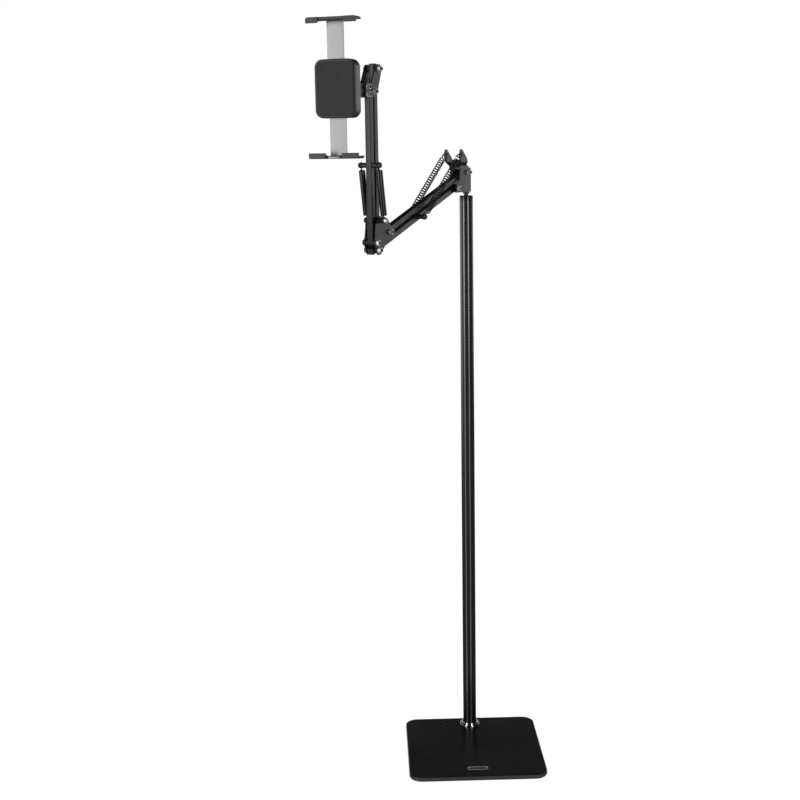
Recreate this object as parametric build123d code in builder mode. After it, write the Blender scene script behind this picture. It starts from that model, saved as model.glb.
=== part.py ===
from build123d import *
import math
import os

# An adjustable floor stand for a phone or a tablet. A heavy square plate carries a
# screwed pole. A sprung arm of two parallel square tubes turns on the pole's top, a second
# one stands on its elbow, and a swivel, tilt and spin head carries a holder with two
# sprung jaws. Millimetres, +Z up, -Y to the front, origin on the floor below the plate's
# centre. The arm is stored folded, as it is drawn here.

# Base plate and what is let into it
base_width = 240.0
base_depth = 240.0
plate_thickness = 6.0
pad_thickness = 2.0
pad_inset = 1.5
base_corner = 22.0
plate_edge = 0.8
badge_length = 36.0
badge_width = 11.0
badge_height = 1.2
badge_setback = 31.0
badge_proud = 0.4
fit_gap = 0.05
inlay_gap = 0.15

# Pole, its foot and its cap
pole_setback = 23.0
pole_diameter = 24.0
pole_wall = 1.2
lower_pole_length = 817.0
upper_pole_length = 158.0
joiner_length = 60.0
cap_height = 8.0
cap_plug_length = 32.0
cap_shoulder = 2.4
foot_nut_height = 20.0
collar_diameter = 36.0
collar_step_diameter = 29.0
collar_flange_height = 2.4
collar_height = 5.6
screw_diameter = 10.0
screw_head_diameter = 18.0
screw_head_height = 3.4
screw_grip = 16.0
counterbore_depth = 3.0
counterbore_gap = 1.0
pad_hole_gap = 1.5

# Swivel pin between the pole's cap and the arm's bracket
swivel_pin_diameter = 8.0
swivel_pin_depth = 34.0
swivel_collar_diameter = 12.0
swivel_collar_height = 3.0
swivel_gap = 3.5
rivet_head_height = 2.0

# The arm lies in one upright plane that is turned from the plate's edges
arm_turn = 57.0
tube_size = 10.0
tube_wall = 1.0
tube_overhang = 7.0
tube_edge = 1.4
tube_bore_corner = 0.6
foot_round = 5.4
plug_head = 1.2
plug_head_inset = 0.3
plug_stop_gap = 1.0
lower_arm_length = 270.7
lower_arm_slope = 18.63
upper_arm_length = 230.0
lower_link_length = 43.7
lower_link_slope = 37.3
upper_link_length = 36.3
upper_link_lean = 21.1

# Pivots of the bracket and the elbow, forward of the pole's axis and above the bracket
bracket_back = 1.5
floor_setback = 15.0
upper_pivot_forward = 11.8
upper_pivot_height = 33.6
elbow_pivot_forward = 4.4
elbow_pivot_rise = 11.8
elbow_corner = 3.0

# Sheet parts and fasteners of the arm
sheet = 2.0
plate_gap = 17.0
pivot_diameter = 5.0
pivot_clearance = 0.05
open_pivot_clearance = 0.25
bolt_hole_gap = 0.1
nut_across = 8.0
nut_height = 4.0
head_across = 8.0
head_height = 3.5
washer_diameter = 10.0
washer_thickness = 1.0
bolt_tip = 2.0
spacer_diameter = 9.0

# Cross pins that the springs hook on
spring_offset = 14.8
sleeve_offset = 16.0
pin_diameter = 8.0
pin_groove_diameter = 6.0
pin_groove_width = 3.0
pin_ball_diameter = 8.6
pin_ball_length = 3.4
dome_nut_height = 5.6
dome_nut_floor = 1.5
lower_pin_reach = 130.0
upper_pin_reach = 119.0

# Bare springs of the lower arm
wire = 2.0
coil_diameter = 10.8
coil_turns = 23
hook_length = 14.0
ear_height = 58.8
ear_back = 2.3
ear_step_start = 38.0
ear_step_rise = 6.0
ear_hole_diameter = 4.2
hook_gap = 0.3

# Sleeved springs of the upper arm
sleeve_diameter = 10.4
sleeve_wall = 1.0
sleeve_start = 8.0
sleeve_length = 70.0
core_diameter = 5.0
core_start = 11.0
core_foot = 2.0
sleeve_hook_wire = 1.8

# Head: swivel, tilt and spin
head_forward = 44.5
head_height_over_pivot = 1.0
head_block_height = 20.0
head_block_reach = 31.0
head_bolt_forward = 18.0
head_bolt_spacing = 11.0
head_turn = 69.5
head_corner = 4.0
head_margin = 7.5
yoke_leg = 4.0
yoke_web_start = 11.5
yoke_web = 6.0
yoke_pin_diameter = 6.0
yoke_pin_head = 1.5
tilt_forward = 28.0
tongue_thickness = 8.0
tongue_radius = 9.0
cheek_thickness = 4.0
cheek_gap = 0.3
disc_start = 44.0
disc_thickness = 4.0
disc_diameter = 36.0
spin_shaft_diameter = 10.0
shaft_reach = 8.0
spin_washer_thickness = 1.0
knob_diameter = 22.0
knob_lobe_radius = 3.4
knob_length = 12.0
knob_lobes = 5
knob_floor = 3.0

# Holder body and jaws
spin_gap = 0.3
holder_width = 64.0
holder_height = 84.0
holder_back_depth = 18.0
holder_front_depth = 4.0
holder_wall = 2.5
holder_corner = 12.0
face_pad_thickness = 1.5
rail_width = 26.0
rail_thickness = 2.5
rail_gap = 1.0
rail_length = 79.5
rail_front_inset = 1.3
jaw_opening = 190.0
jaw_width = 78.0
jaw_shelf = 4.2
jaw_reach = 11.4
jaw_lip = 3.0
jaw_lip_height = 3.0
jaw_pad_thickness = 1.2
upper_notch_width = 40.0
lower_notch_width = 25.0
slide_gap = 0.3
rib_thickness = 2.0
band_diameter = 7.4
band_setback = 11.5
band_width = 20.0
band_pin_diameter = 2.5
jaw_root_wall = 1.5
rail_grip = 3.2
lower_notch_depth = 9.0
bar_width = 21.0
bar_thickness = 2.0
bar_tail = 3.0

# Frame: planes and points that the pieces share
plate_top = pad_thickness + plate_thickness
pole_y = base_depth / 2 - pole_setback
pole_radius = pole_diameter / 2
pole_bore = pole_radius - pole_wall
pole_joint_z = plate_top + lower_pole_length
tube_top_z = pole_joint_z + upper_pole_length
cap_top_z = tube_top_z + cap_height
bracket_z = cap_top_z + swivel_gap + swivel_collar_height

turn = math.radians(arm_turn)
ARM = Plane(
    origin=(0, pole_y, 0),
    x_dir=(-math.cos(turn), -math.sin(turn), 0),
    z_dir=(-math.sin(turn), math.cos(turn), 0),
)


def step(point, angle, length):
    """The point at a length from another, at an angle above the forward direction, in the arm's plane."""
    rise = math.radians(angle)
    return (point[0] + length * math.cos(rise), point[1] + length * math.sin(rise))


# Lower arm: upper tube from A1 to B1, lower tube from A2 to B2
A1 = (upper_pivot_forward, bracket_z + upper_pivot_height)
A2 = step(A1, -lower_link_slope, lower_link_length)
B1 = step(A1, -lower_arm_slope, lower_arm_length)
B2 = step(A2, -lower_arm_slope, lower_arm_length)
EAR = (A2[0] - ear_back, A2[1] + ear_height)
LOWER_PIN = step(A2, -lower_arm_slope, lower_pin_reach)

# Upper arm: front tube from C1 to D1, rear tube from C2 to D2
C1 = (B2[0] + elbow_pivot_forward, B2[1] + elbow_pivot_rise)
C2 = step(C1, 90 + upper_link_lean, upper_link_length)
D1 = step(C1, 90, upper_arm_length)
D2 = step(C2, 90, upper_arm_length)
UPPER_PIN = step(C1, 90, upper_pin_reach)

# The head swivels about an upright axis ahead of D1, and the holder faces more to the front
SWIVEL = (D1[0] + head_forward, D1[1] + head_height_over_pivot)
facing = math.radians(head_turn)
swivel_point = ARM.from_local_coords((SWIVEL[0], SWIVEL[1], 0))
HOLD = Plane(
    origin=swivel_point,
    x_dir=(math.sin(facing), -math.cos(facing), 0),
    z_dir=(-math.cos(facing), -math.sin(facing), 0),
)
SIDE = Plane(origin=swivel_point, x_dir=HOLD.z_dir, z_dir=-HOLD.x_dir)

plate_inner = plate_gap / 2
plate_outer = plate_inner + sheet
half_tube = tube_size / 2

os.makedirs("parts", exist_ok=True)


def save(piece, label):
    """Names a finished piece and writes it as a STEP file of the same name."""
    piece.part.label = label
    export_step(piece.part, f"parts/{label}.step")


# Base plate: flat steel, with a counterbored hole for the pole's screw and an oval recess
with BuildPart() as base_plate:
    with BuildSketch(Plane.XY.offset(pad_thickness)):
        RectangleRounded(base_width, base_depth, base_corner)
    extrude(amount=plate_thickness)
    chamfer(base_plate.faces().sort_by(Axis.Z)[-1].outer_wire().edges(), plate_edge)
    with BuildSketch(Plane.XY.offset(pad_thickness)):
        with Locations((0, pole_y)):
            Circle(screw_head_diameter / 2 + counterbore_gap)
    extrude(amount=counterbore_depth, mode=Mode.SUBTRACT)
    with BuildSketch(Plane.XY.offset(pad_thickness)):
        with Locations((0, pole_y)):
            Circle(screw_diameter / 2 + inlay_gap)
    extrude(amount=plate_thickness, mode=Mode.SUBTRACT)
    with BuildSketch(Plane.XY.offset(plate_top)):
        with Locations((0, badge_setback - base_depth / 2)):
            SlotOverall(badge_length + 2 * inlay_gap, badge_width + 2 * inlay_gap)
    extrude(amount=-(badge_height - badge_proud), mode=Mode.SUBTRACT)
save(base_plate, "base_plate")

# Anti-slip pad glued under the plate, open round the head of the pole's screw
with BuildPart() as base_pad:
    with BuildSketch():
        RectangleRounded(base_width - 2 * pad_inset, base_depth - 2 * pad_inset, base_corner - pad_inset)
        with Locations((0, pole_y)):
            Circle(screw_head_diameter / 2 + pad_hole_gap, mode=Mode.SUBTRACT)
    extrude(amount=pad_thickness)
save(base_pad, "base_pad")

# Bare oval inlay near the front edge, with a rounded rim
with BuildPart() as badge:
    with BuildSketch(Plane.XY.offset(plate_top + badge_proud - badge_height)):
        with Locations((0, badge_setback - base_depth / 2)):
            SlotOverall(badge_length, badge_width)
    extrude(amount=badge_height)
    chamfer(badge.faces().sort_by(Axis.Z)[-1].edges(), badge_proud / 2)
save(badge, "badge")

# Bright trim ring round the pole's foot: a low flange, a rounded step and a short hub
with BuildPart() as foot_collar:
    with BuildSketch(Plane.XZ.offset(-pole_y)):
        with BuildLine():
            hub = collar_step_diameter / 2
            rim = collar_diameter / 2
            bore = pole_radius + inlay_gap
            round_off = collar_flange_height / 2
            crown = (collar_height - collar_flange_height) / 2
            Polyline((bore, collar_height), (bore, 0), (rim, 0), (rim, collar_flange_height - round_off))
            ThreePointArc(
                (rim, collar_flange_height - round_off),
                (rim - 0.3 * round_off, collar_flange_height - 0.3 * round_off),
                (rim - round_off, collar_flange_height),
            )
            Polyline((rim - round_off, collar_flange_height), (hub, collar_flange_height))
            Line((hub, collar_flange_height), (hub, collar_height - crown))
            ThreePointArc(
                (hub, collar_height - crown),
                (hub - 0.3 * crown, collar_height - 0.3 * crown),
                (hub - crown, collar_height),
            )
            Line((hub - crown, collar_height), (bore, collar_height))
        make_face()
    revolve(axis=Axis((0, pole_y, 0), (0, 0, 1)))
    foot_collar.part.position = (0, 0, plate_top)
save(foot_collar, "foot_collar")

# Flat-headed screw from below the plate into the nut in the pole's foot
head_z = pad_thickness + counterbore_depth - screw_head_height
with BuildPart() as pole_screw:
    with BuildSketch(Plane.XY.offset(head_z)):
        with Locations((0, pole_y)):
            Circle(screw_head_diameter / 2)
    extrude(amount=screw_head_height)
    with BuildSketch(Plane.XY.offset(head_z + screw_head_height)):
        with Locations((0, pole_y)):
            Circle(screw_diameter / 2)
    extrude(amount=plate_thickness - counterbore_depth + screw_grip)
    with BuildSketch(Plane.XY.offset(head_z)):
        with Locations((0, pole_y)):
            RegularPolygon(4.0, 6)
    extrude(amount=screw_head_height * 0.6, mode=Mode.SUBTRACT)
save(pole_screw, "pole_screw")

# Threaded plug pressed into the foot of the pole
with BuildPart() as pole_foot_nut:
    with BuildSketch(Plane.XY.offset(plate_top)):
        with Locations((0, pole_y)):
            Circle(pole_bore - fit_gap)
            Circle(screw_diameter / 2 + fit_gap, mode=Mode.SUBTRACT)
    extrude(amount=foot_nut_height)
save(pole_foot_nut, "pole_foot_nut")


def pole_tube(foot, length):
    """One length of the round pole."""
    with BuildPart() as tube:
        with BuildSketch(Plane.XY.offset(foot)):
            with Locations((0, pole_y)):
                Circle(pole_radius)
                Circle(pole_bore, mode=Mode.SUBTRACT)
        extrude(amount=length)
        ends = tube.edges().filter_by(GeomType.CIRCLE).group_by(SortBy.RADIUS)[-1]
        chamfer(ends, 0.25)
    return tube


lower_pole = pole_tube(plate_top, lower_pole_length)
save(lower_pole, "lower_pole")
upper_pole = pole_tube(pole_joint_z, upper_pole_length)
save(upper_pole, "upper_pole")

# Inner sleeve that joins the two lengths of the pole
with BuildPart() as pole_joiner:
    with BuildSketch(Plane.XY.offset(pole_joint_z - joiner_length / 2)):
        with Locations((0, pole_y)):
            Circle(pole_bore - fit_gap)
            Circle(pole_bore - fit_gap - pole_wall, mode=Mode.SUBTRACT)
    extrude(amount=joiner_length)
save(pole_joiner, "pole_joiner")

# Moulded cap in the pole's top, with a rounded shoulder and a blind bore for the swivel pin
with BuildPart() as pole_cap:
    with BuildSketch(Plane.XY.offset(tube_top_z - cap_plug_length)):
        with Locations((0, pole_y)):
            Circle(pole_bore - fit_gap)
    extrude(amount=cap_plug_length)
    with BuildSketch(Plane.XY.offset(tube_top_z)):
        with Locations((0, pole_y)):
            Circle(pole_radius)
    extrude(amount=cap_height)
    fillet(pole_cap.faces().sort_by(Axis.Z)[-1].edges(), cap_shoulder)
    with BuildSketch(Plane.XY.offset(cap_top_z)):
        with Locations((0, pole_y)):
            Circle(swivel_pin_diameter / 2 + fit_gap)
    extrude(amount=-swivel_pin_depth, mode=Mode.SUBTRACT)
save(pole_cap, "pole_cap")

# Swivel pin: turns in the cap's bore, with a collar under the bracket and a riveted head
pin_foot_z = cap_top_z - swivel_pin_depth
web_top_z = bracket_z + sheet
with BuildPart() as swivel_pin:
    with BuildSketch(Plane.XY.offset(pin_foot_z)):
        with Locations((0, pole_y)):
            Circle(swivel_pin_diameter / 2)
    extrude(amount=web_top_z - pin_foot_z)
    with BuildSketch(Plane.XY.offset(bracket_z - swivel_collar_height)):
        with Locations((0, pole_y)):
            Circle(swivel_collar_diameter / 2)
    extrude(amount=swivel_collar_height)
    with BuildSketch(Plane.XY.offset(web_top_z)):
        with Locations((0, pole_y)):
            Circle(swivel_collar_diameter / 2)
    extrude(amount=rivet_head_height)
    chamfer(swivel_pin.faces().sort_by(Axis.Z)[-1].edges(), 0.8)
save(swivel_pin, "swivel_pin")

# Bracket: one bent sheet. Its section across the arm is a U with a floor, two cheeks and
# two ears that step outwards to the springs. It is cut to the side outline, and a web
# folded across the cheeks stops the arm's lift.
ear_tip = (EAR[0] - 0.5, EAR[1] + 7.0)
web_low = (A2[0] - 5.6, A2[1] + 36.4)
web_high = (A2[0] - 14.1, A2[1] + 48.4)
jog_low_z = A2[1] + ear_step_start
jog_high_z = jog_low_z + ear_step_rise
with BuildPart() as arm_bracket:
    with BuildSketch(ARM.offset(-2 * spring_offset)):
        with BuildLine():
            Polyline(
                (bracket_back, bracket_z),
                (A2[0] + 9.0, bracket_z),
                (A2[0] + 8.0, A2[1] + 5.0),
                (A2[0] - 6.0, A2[1] + 12.0),
                (A2[0] - 9.0, A2[1] + 30.0),
                (web_low[0], web_low[1]),
                (EAR[0] + 6.5, EAR[1] - 3.5),
                (EAR[0] + 2.0, ear_tip[1]),
                (EAR[0] - 3.0, ear_tip[1]),
                (web_high[0] - 8.0, web_high[1] + 2.0),
                (web_high[0] - 12.0, A1[1] + 14.0),
                (bracket_back, A1[1] + 6.0),
                close=True,
            )
        bracket_outline = make_face()
        fillet(bracket_outline.vertices(), 1.5)
    extrude(amount=4 * spring_offset)
    with BuildSketch(Plane(origin=ARM.origin, x_dir=ARM.z_dir, z_dir=-ARM.x_dir)):
        with BuildLine():
            ear_inner = spring_offset - sheet / 2
            half_section = [
                (0, bracket_z),
                (plate_outer, bracket_z),
                (plate_outer, jog_low_z),
                (ear_inner + sheet, jog_high_z),
                (ear_inner + sheet, ear_tip[1] + 1),
                (ear_inner, ear_tip[1] + 1),
                (ear_inner, jog_high_z),
                (plate_inner, jog_low_z),
                (plate_inner, bracket_z + sheet),
                (0, bracket_z + sheet),
            ]
            Polyline(*half_section, close=True)
        make_face()
        mirror(about=Plane.YZ)
    extrude(amount=-2 * A2[0], mode=Mode.INTERSECT)
    # Floor's round end about the swivel pin, and its hole
    with BuildSketch(Plane.XY.offset(bracket_z)):
        with Locations((0, pole_y)):
            Circle(plate_inner)
    extrude(amount=sheet)
    with BuildSketch(Plane.XY.offset(bracket_z)):
        with Locations((0, pole_y)):
            Circle(swivel_pin_diameter / 2 + fit_gap)
    extrude(amount=sheet, mode=Mode.SUBTRACT)
    # Floor and folded web: the floor ends behind the lower tube, whose end swings there
    with BuildSketch(ARM.offset(-plate_inner)):
        with Locations((A2[0] - floor_setback + lower_link_length, bracket_z + sheet)):
            Rectangle(2 * lower_link_length, 4 * sheet)
    extrude(amount=plate_gap, mode=Mode.SUBTRACT)
    with BuildSketch(ARM.offset(-plate_inner)):
        fold = math.atan2(web_high[1] - web_low[1], web_high[0] - web_low[0])
        inward = (-math.sin(fold) * sheet, math.cos(fold) * sheet)
        with BuildLine():
            Polyline(
                web_low,
                web_high,
                (web_high[0] + inward[0], web_high[1] + inward[1]),
                (web_low[0] + inward[0], web_low[1] + inward[1]),
                close=True,
            )
        make_face()
    extrude(amount=plate_gap)
    # Pivot and spring holes
    with BuildSketch(ARM.offset(-2 * spring_offset)):
        with Locations(A1, A2):
            Circle(pivot_diameter / 2 + bolt_hole_gap)
        with Locations(EAR):
            Circle(ear_hole_diameter / 2)
    extrude(amount=4 * spring_offset, mode=Mode.SUBTRACT)
save(arm_bracket, "arm_bracket")


def pivot_bolts(pivots):
    """Hex-headed bolts with their heads on the far side and their tips on the near side."""
    tip = plate_outer + washer_thickness + nut_height + bolt_tip
    head = plate_outer + washer_thickness
    with BuildPart() as bolts:
        with BuildSketch(ARM.offset(-tip)):
            with Locations(*pivots):
                Circle(pivot_diameter / 2)
        extrude(amount=tip + head)
        with BuildSketch(ARM.offset(head)):
            with Locations(*pivots):
                RegularPolygon(head_across / 2, 6, major_radius=False)
        extrude(amount=head_height)
    return bolts


def pivot_nuts(pivots):
    """Hex nuts on the near side."""
    seat = plate_outer + washer_thickness
    with BuildPart() as nuts:
        with BuildSketch(ARM.offset(-seat)):
            with Locations(*pivots):
                RegularPolygon(nut_across / 2, 6, major_radius=False)
            with Locations(*pivots):
                Circle(pivot_diameter / 2 + fit_gap, mode=Mode.SUBTRACT)
        extrude(amount=-nut_height)
    return nuts


def pivot_washers(bolted, pivots):
    """A washer under each nut and head, and a thick one on each side of every tube."""
    with BuildPart() as washers:
        for seat in (-plate_outer - washer_thickness, plate_outer):
            with BuildSketch(ARM.offset(seat)):
                with Locations(*bolted):
                    Circle(washer_diameter / 2)
                with Locations(*bolted):
                    Circle(pivot_diameter / 2 + bolt_hole_gap, mode=Mode.SUBTRACT)
            extrude(amount=washer_thickness)
        for seat in (-plate_inner, half_tube):
            with BuildSketch(ARM.offset(seat)):
                with Locations(*pivots):
                    Circle(spacer_diameter / 2)
                with Locations(*pivots):
                    Circle(pivot_diameter / 2 + bolt_hole_gap, mode=Mode.SUBTRACT)
            extrude(amount=plate_inner - half_tube)
    return washers


save(pivot_bolts([A1, A2]), "bracket_bolts")
save(pivot_nuts([A1, A2]), "bracket_nuts")
save(pivot_washers([A1, A2], [A1, A2]), "bracket_washers")


def along(foot, top, back):
    """The plane square to the line from foot to top, set back from foot, its X axis across the arm."""
    start = ARM.from_local_coords((foot[0], foot[1], 0))
    end = ARM.from_local_coords((top[0], top[1], 0))
    run = (end - start).normalized()
    return Plane(origin=start - run * back, x_dir=ARM.z_dir, z_dir=run)


def behind(foot, top, radius):
    """What lies behind a pivot and outside a round end about it, as a sketch in the arm's plane."""
    start = ARM.from_local_coords((foot[0], foot[1], 0))
    end = ARM.from_local_coords((top[0], top[1], 0))
    with BuildSketch(Plane(origin=start, x_dir=(end - start).normalized(), z_dir=ARM.z_dir)) as corners:
        with Locations((-tube_size, 0)):
            Rectangle(2 * tube_size, 3 * tube_size)
        Circle(radius, mode=Mode.SUBTRACT)
    return corners.sketch


def square_tube(foot, top, length, drilled, foot_radius=None):
    """A square steel tube with pivots at foot and top, drilled across at the given points and radii."""
    with BuildPart() as tube:
        with BuildSketch(along(foot, top, tube_overhang)):
            RectangleRounded(tube_size, tube_size, tube_edge)
            bore = tube_size - 2 * tube_wall
            RectangleRounded(bore, bore, tube_bore_corner, mode=Mode.SUBTRACT)
        extrude(amount=length + 2 * tube_overhang)
        for point, radius in drilled:
            with BuildSketch(ARM.offset(-tube_size)):
                with Locations(point):
                    Circle(radius)
            extrude(amount=2 * tube_size, mode=Mode.SUBTRACT)
        if foot_radius:
            extrude(behind(foot, top, foot_radius), amount=tube_size, both=True, mode=Mode.SUBTRACT)
    return tube


def tube_plugs(foot, top, foot_radius=None):
    """Moulded plugs that close both ends of a square tube. A square end has a low head over its rim."""
    bore = tube_size - 2 * tube_wall - 2 * fit_gap
    head_size = tube_size - 2 * plug_head_inset
    with BuildPart() as plugs:
        for near, far in ((foot, top), (top, foot)):
            with BuildSketch(along(near, far, tube_overhang)):
                RectangleRounded(bore, bore, tube_bore_corner)
            extrude(amount=tube_overhang - pivot_diameter / 2 - plug_stop_gap)
        if foot_radius:
            extrude(behind(foot, top, foot_radius), amount=tube_size, both=True, mode=Mode.SUBTRACT)
        for near, far in ((foot, top), (top, foot))[1 if foot_radius else 0 :]:
            with BuildSketch(along(near, far, tube_overhang + plug_head)):
                RectangleRounded(head_size, head_size, tube_edge)
            extrude(amount=plug_head)
    return plugs


running = pivot_diameter / 2 + pivot_clearance
loose = pivot_diameter / 2 + open_pivot_clearance
pin_hole = pin_groove_diameter / 2 + fit_gap

upper_tube = square_tube(A1, B1, lower_arm_length, [(A1, running), (B1, loose)])
save(upper_tube, "upper_tube")
save(tube_plugs(A1, B1), "upper_tube_plugs")
lower_tube = square_tube(A2, B2, lower_arm_length, [(A2, running), (B2, running), (LOWER_PIN, pin_hole)])
save(lower_tube, "lower_tube")
save(tube_plugs(A2, B2), "lower_tube_plugs")
front_holes = [(C1, running), (D1, running), (UPPER_PIN, pin_hole)]
front_tube = square_tube(C1, D1, upper_arm_length, front_holes, foot_round)
save(front_tube, "front_tube")
save(tube_plugs(C1, D1, foot_round), "front_tube_plugs")
rear_tube = square_tube(C2, D2, upper_arm_length, [(C2, running), (D2, loose)])
save(rear_tube, "rear_tube")
save(tube_plugs(C2, D2), "rear_tube_plugs")


def spring_pin(point, groove, core_radius, collar_start, near_end_round=True):
    """A cross pin that the hooks of two springs lie round, one on each side of the arm."""
    collar_end = groove - pin_groove_width / 2
    groove_end = groove + pin_groove_width / 2
    thread_end = groove_end + dome_nut_height - dome_nut_floor
    with BuildPart() as pin:
        for side, rounded in ((1, True), (-1, near_end_round)):
            lengths = [
                (0, collar_start, core_radius),
                (collar_start, collar_end, pin_diameter / 2),
                (collar_end, groove_end, pin_groove_diameter / 2),
            ]
            if rounded:
                lengths.append((groove_end, groove_end + pin_ball_length, pin_ball_diameter / 2))
            else:
                lengths.append((groove_end, thread_end, pivot_diameter / 2))
            for begin, finish, radius in lengths:
                with BuildSketch(ARM.offset(side * begin)):
                    with Locations(point):
                        Circle(radius)
                extrude(amount=side * (finish - begin))
            if rounded:
                rims = pin.edges().filter_by(GeomType.CIRCLE).sort_by(Axis(ARM.origin, ARM.z_dir * side))
                fillet(rims[-1], pin_ball_length - 0.8)
    return pin


save(spring_pin(LOWER_PIN, spring_offset, pin_groove_diameter / 2, half_tube), "lower_spring_pin")
save(spring_pin(UPPER_PIN, sleeve_offset, pin_groove_diameter / 2, half_tube), "upper_spring_pin")
save(spring_pin(C2, sleeve_offset, pivot_diameter / 2, plate_outer, False), "elbow_spring_pin")

# Dome nut on the near end of the elbow's cross pin: a hexagon and a dome over the thread
nut_seat = sleeve_offset + pin_groove_width / 2
with BuildPart() as dome_nut:
    with BuildSketch(ARM.offset(-nut_seat)):
        with Locations(C2):
            RegularPolygon(nut_across / 2, 6, major_radius=False)
    extrude(amount=-dome_nut_height / 2)
    with BuildSketch(ARM.offset(-nut_seat - dome_nut_height / 2)):
        with Locations(C2):
            Circle(nut_across / 2 - 0.4)
    extrude(amount=-dome_nut_height / 2)
    fillet(dome_nut.edges().filter_by(GeomType.CIRCLE).sort_by(Axis(ARM.origin, ARM.z_dir))[0], 2.0)
    with BuildSketch(ARM.offset(-nut_seat)):
        with Locations(C2):
            Circle(pivot_diameter / 2 + fit_gap)
    extrude(amount=dome_nut_floor - dome_nut_height, mode=Mode.SUBTRACT)
save(dome_nut, "dome_nut")

# Bare coil springs. The wire is one unbroken tube: a hook through the ear, the coil, and a
# hook round the cross pin. Each half turn, and each bend into a hook, is a pair of arcs.
spring_slope = math.atan2(LOWER_PIN[1] - EAR[1], LOWER_PIN[0] - EAR[0])
spring_length = math.hypot(LOWER_PIN[0] - EAR[0], LOWER_PIN[1] - EAR[1])
wire_radius = wire / 2
coil_radius = coil_diameter / 2 - wire_radius
ear_seat = ear_hole_diameter / 2 - wire_radius - hook_gap
pin_seat = coil_radius - wire_radius - pin_groove_diameter / 2 - hook_gap
first_share = 0.25
coil_pitch = (spring_length - 2 * hook_length) / (coil_turns + 0.5)


def pair_of_arcs(start, start_way, end, end_way):
    """Two arcs that leave start along its direction and reach end along its own: three points for each."""
    gap = end - start
    both = start_way + end_way
    spread = 2 * (1 - start_way.dot(end_way))
    reach = (-gap.dot(both) + math.sqrt(gap.dot(both) ** 2 + spread * gap.dot(gap))) / spread
    first_corner = start + start_way * reach
    second_corner = end - end_way * reach
    meet = (first_corner + second_corner) / 2
    arcs = []
    for begin, corner, finish in ((start, first_corner, meet), (meet, second_corner, end)):
        half = (finish - begin).length / 2
        middle = (begin + finish) / 2
        top = middle + (corner - middle) * (half / (reach + half))
        arcs.append((begin, top, finish))
    return arcs


def on_coil(share):
    """Place and direction of the coil's centre line after a share of turns, in the spring's plane."""
    angle = 2 * math.pi * share
    spot = Vector(
        hook_length + coil_pitch * (share - first_share),
        coil_radius * math.sin(angle),
        coil_radius * math.cos(angle),
    )
    way = Vector(coil_pitch / (2 * math.pi), coil_radius * math.cos(angle), -coil_radius * math.sin(angle))
    return spot, way.normalized()


def on_ear_hook(angle):
    """Place and direction on the hook through the ear, 0 in the ear's hole."""
    swing = math.radians(angle)
    spot = Vector(ear_seat + coil_radius * (1 - math.cos(swing)), 0, coil_radius * math.sin(swing))
    return spot, Vector(math.sin(swing), 0, math.cos(swing))


def on_pin_hook(angle):
    """Place and direction on the hook round the cross pin, 0 where the coil runs into it."""
    swing = math.radians(angle)
    spot = Vector(spring_length - pin_seat + coil_radius * math.sin(swing), coil_radius * math.cos(swing), 0)
    return spot, Vector(math.cos(swing), -math.sin(swing), 0)


def bend(hook, angles):
    """One arc of a hook, through three of its angles."""
    return tuple(hook(angle)[0] for angle in angles)


def coil_arcs():
    """The spring's arcs, from the free end of one hook to the free end of the other."""
    shares = [first_share + half / 2 for half in range(2 * coil_turns + 2)]
    arcs = [bend(on_ear_hook, (-150, -75, 0)), bend(on_ear_hook, (0, 37.5, 75))]
    arcs += pair_of_arcs(*on_ear_hook(75), *on_coil(shares[0]))
    for begin, finish in zip(shares, shares[1:]):
        arcs += pair_of_arcs(*on_coil(begin), *on_coil(finish))
    arcs += pair_of_arcs(*on_coil(shares[-1]), *on_pin_hook(0))
    arcs += [bend(on_pin_hook, (0, 60, 120)), bend(on_pin_hook, (120, 180, 240))]
    return arcs


def least_gap(arcs):
    """The least clear distance between stretches of the wire over half a turn apart along it."""
    spots = [point for begin, top, finish in arcs for point in (begin, top)]
    apart = 4
    nearest = min(
        (one - other).length
        for index, one in enumerate(spots)
        for other in spots[index + apart : index + 5 * apart]
    )
    return nearest - wire


spring_arcs = coil_arcs()
print("least gap of a bare spring to itself:", round(least_gap(spring_arcs), 2), "mm")


def bare_spring(side):
    """The spring on the near side for -1 and on the far side for 1: the same spring, turned over."""
    spring_plane = Plane(
        origin=ARM.from_local_coords((EAR[0], EAR[1], side * spring_offset)),
        x_dir=ARM.x_dir * math.cos(spring_slope) + ARM.y_dir * math.sin(spring_slope),
        z_dir=ARM.z_dir * -side,
    )
    with BuildPart() as spring:
        with BuildLine() as route:
            for arc in spring_arcs:
                ThreePointArc(*[spring_plane.from_local_coords(point) for point in arc])
        turns = route.wires()[0]
        with BuildSketch(Plane(origin=turns @ 0, z_dir=turns % 0)):
            RegularPolygon(wire_radius, 6)
        sweep(path=turns, clean=False)
    return spring


save(bare_spring(-1), "near_spring")
save(bare_spring(1), "far_spring")

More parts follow.
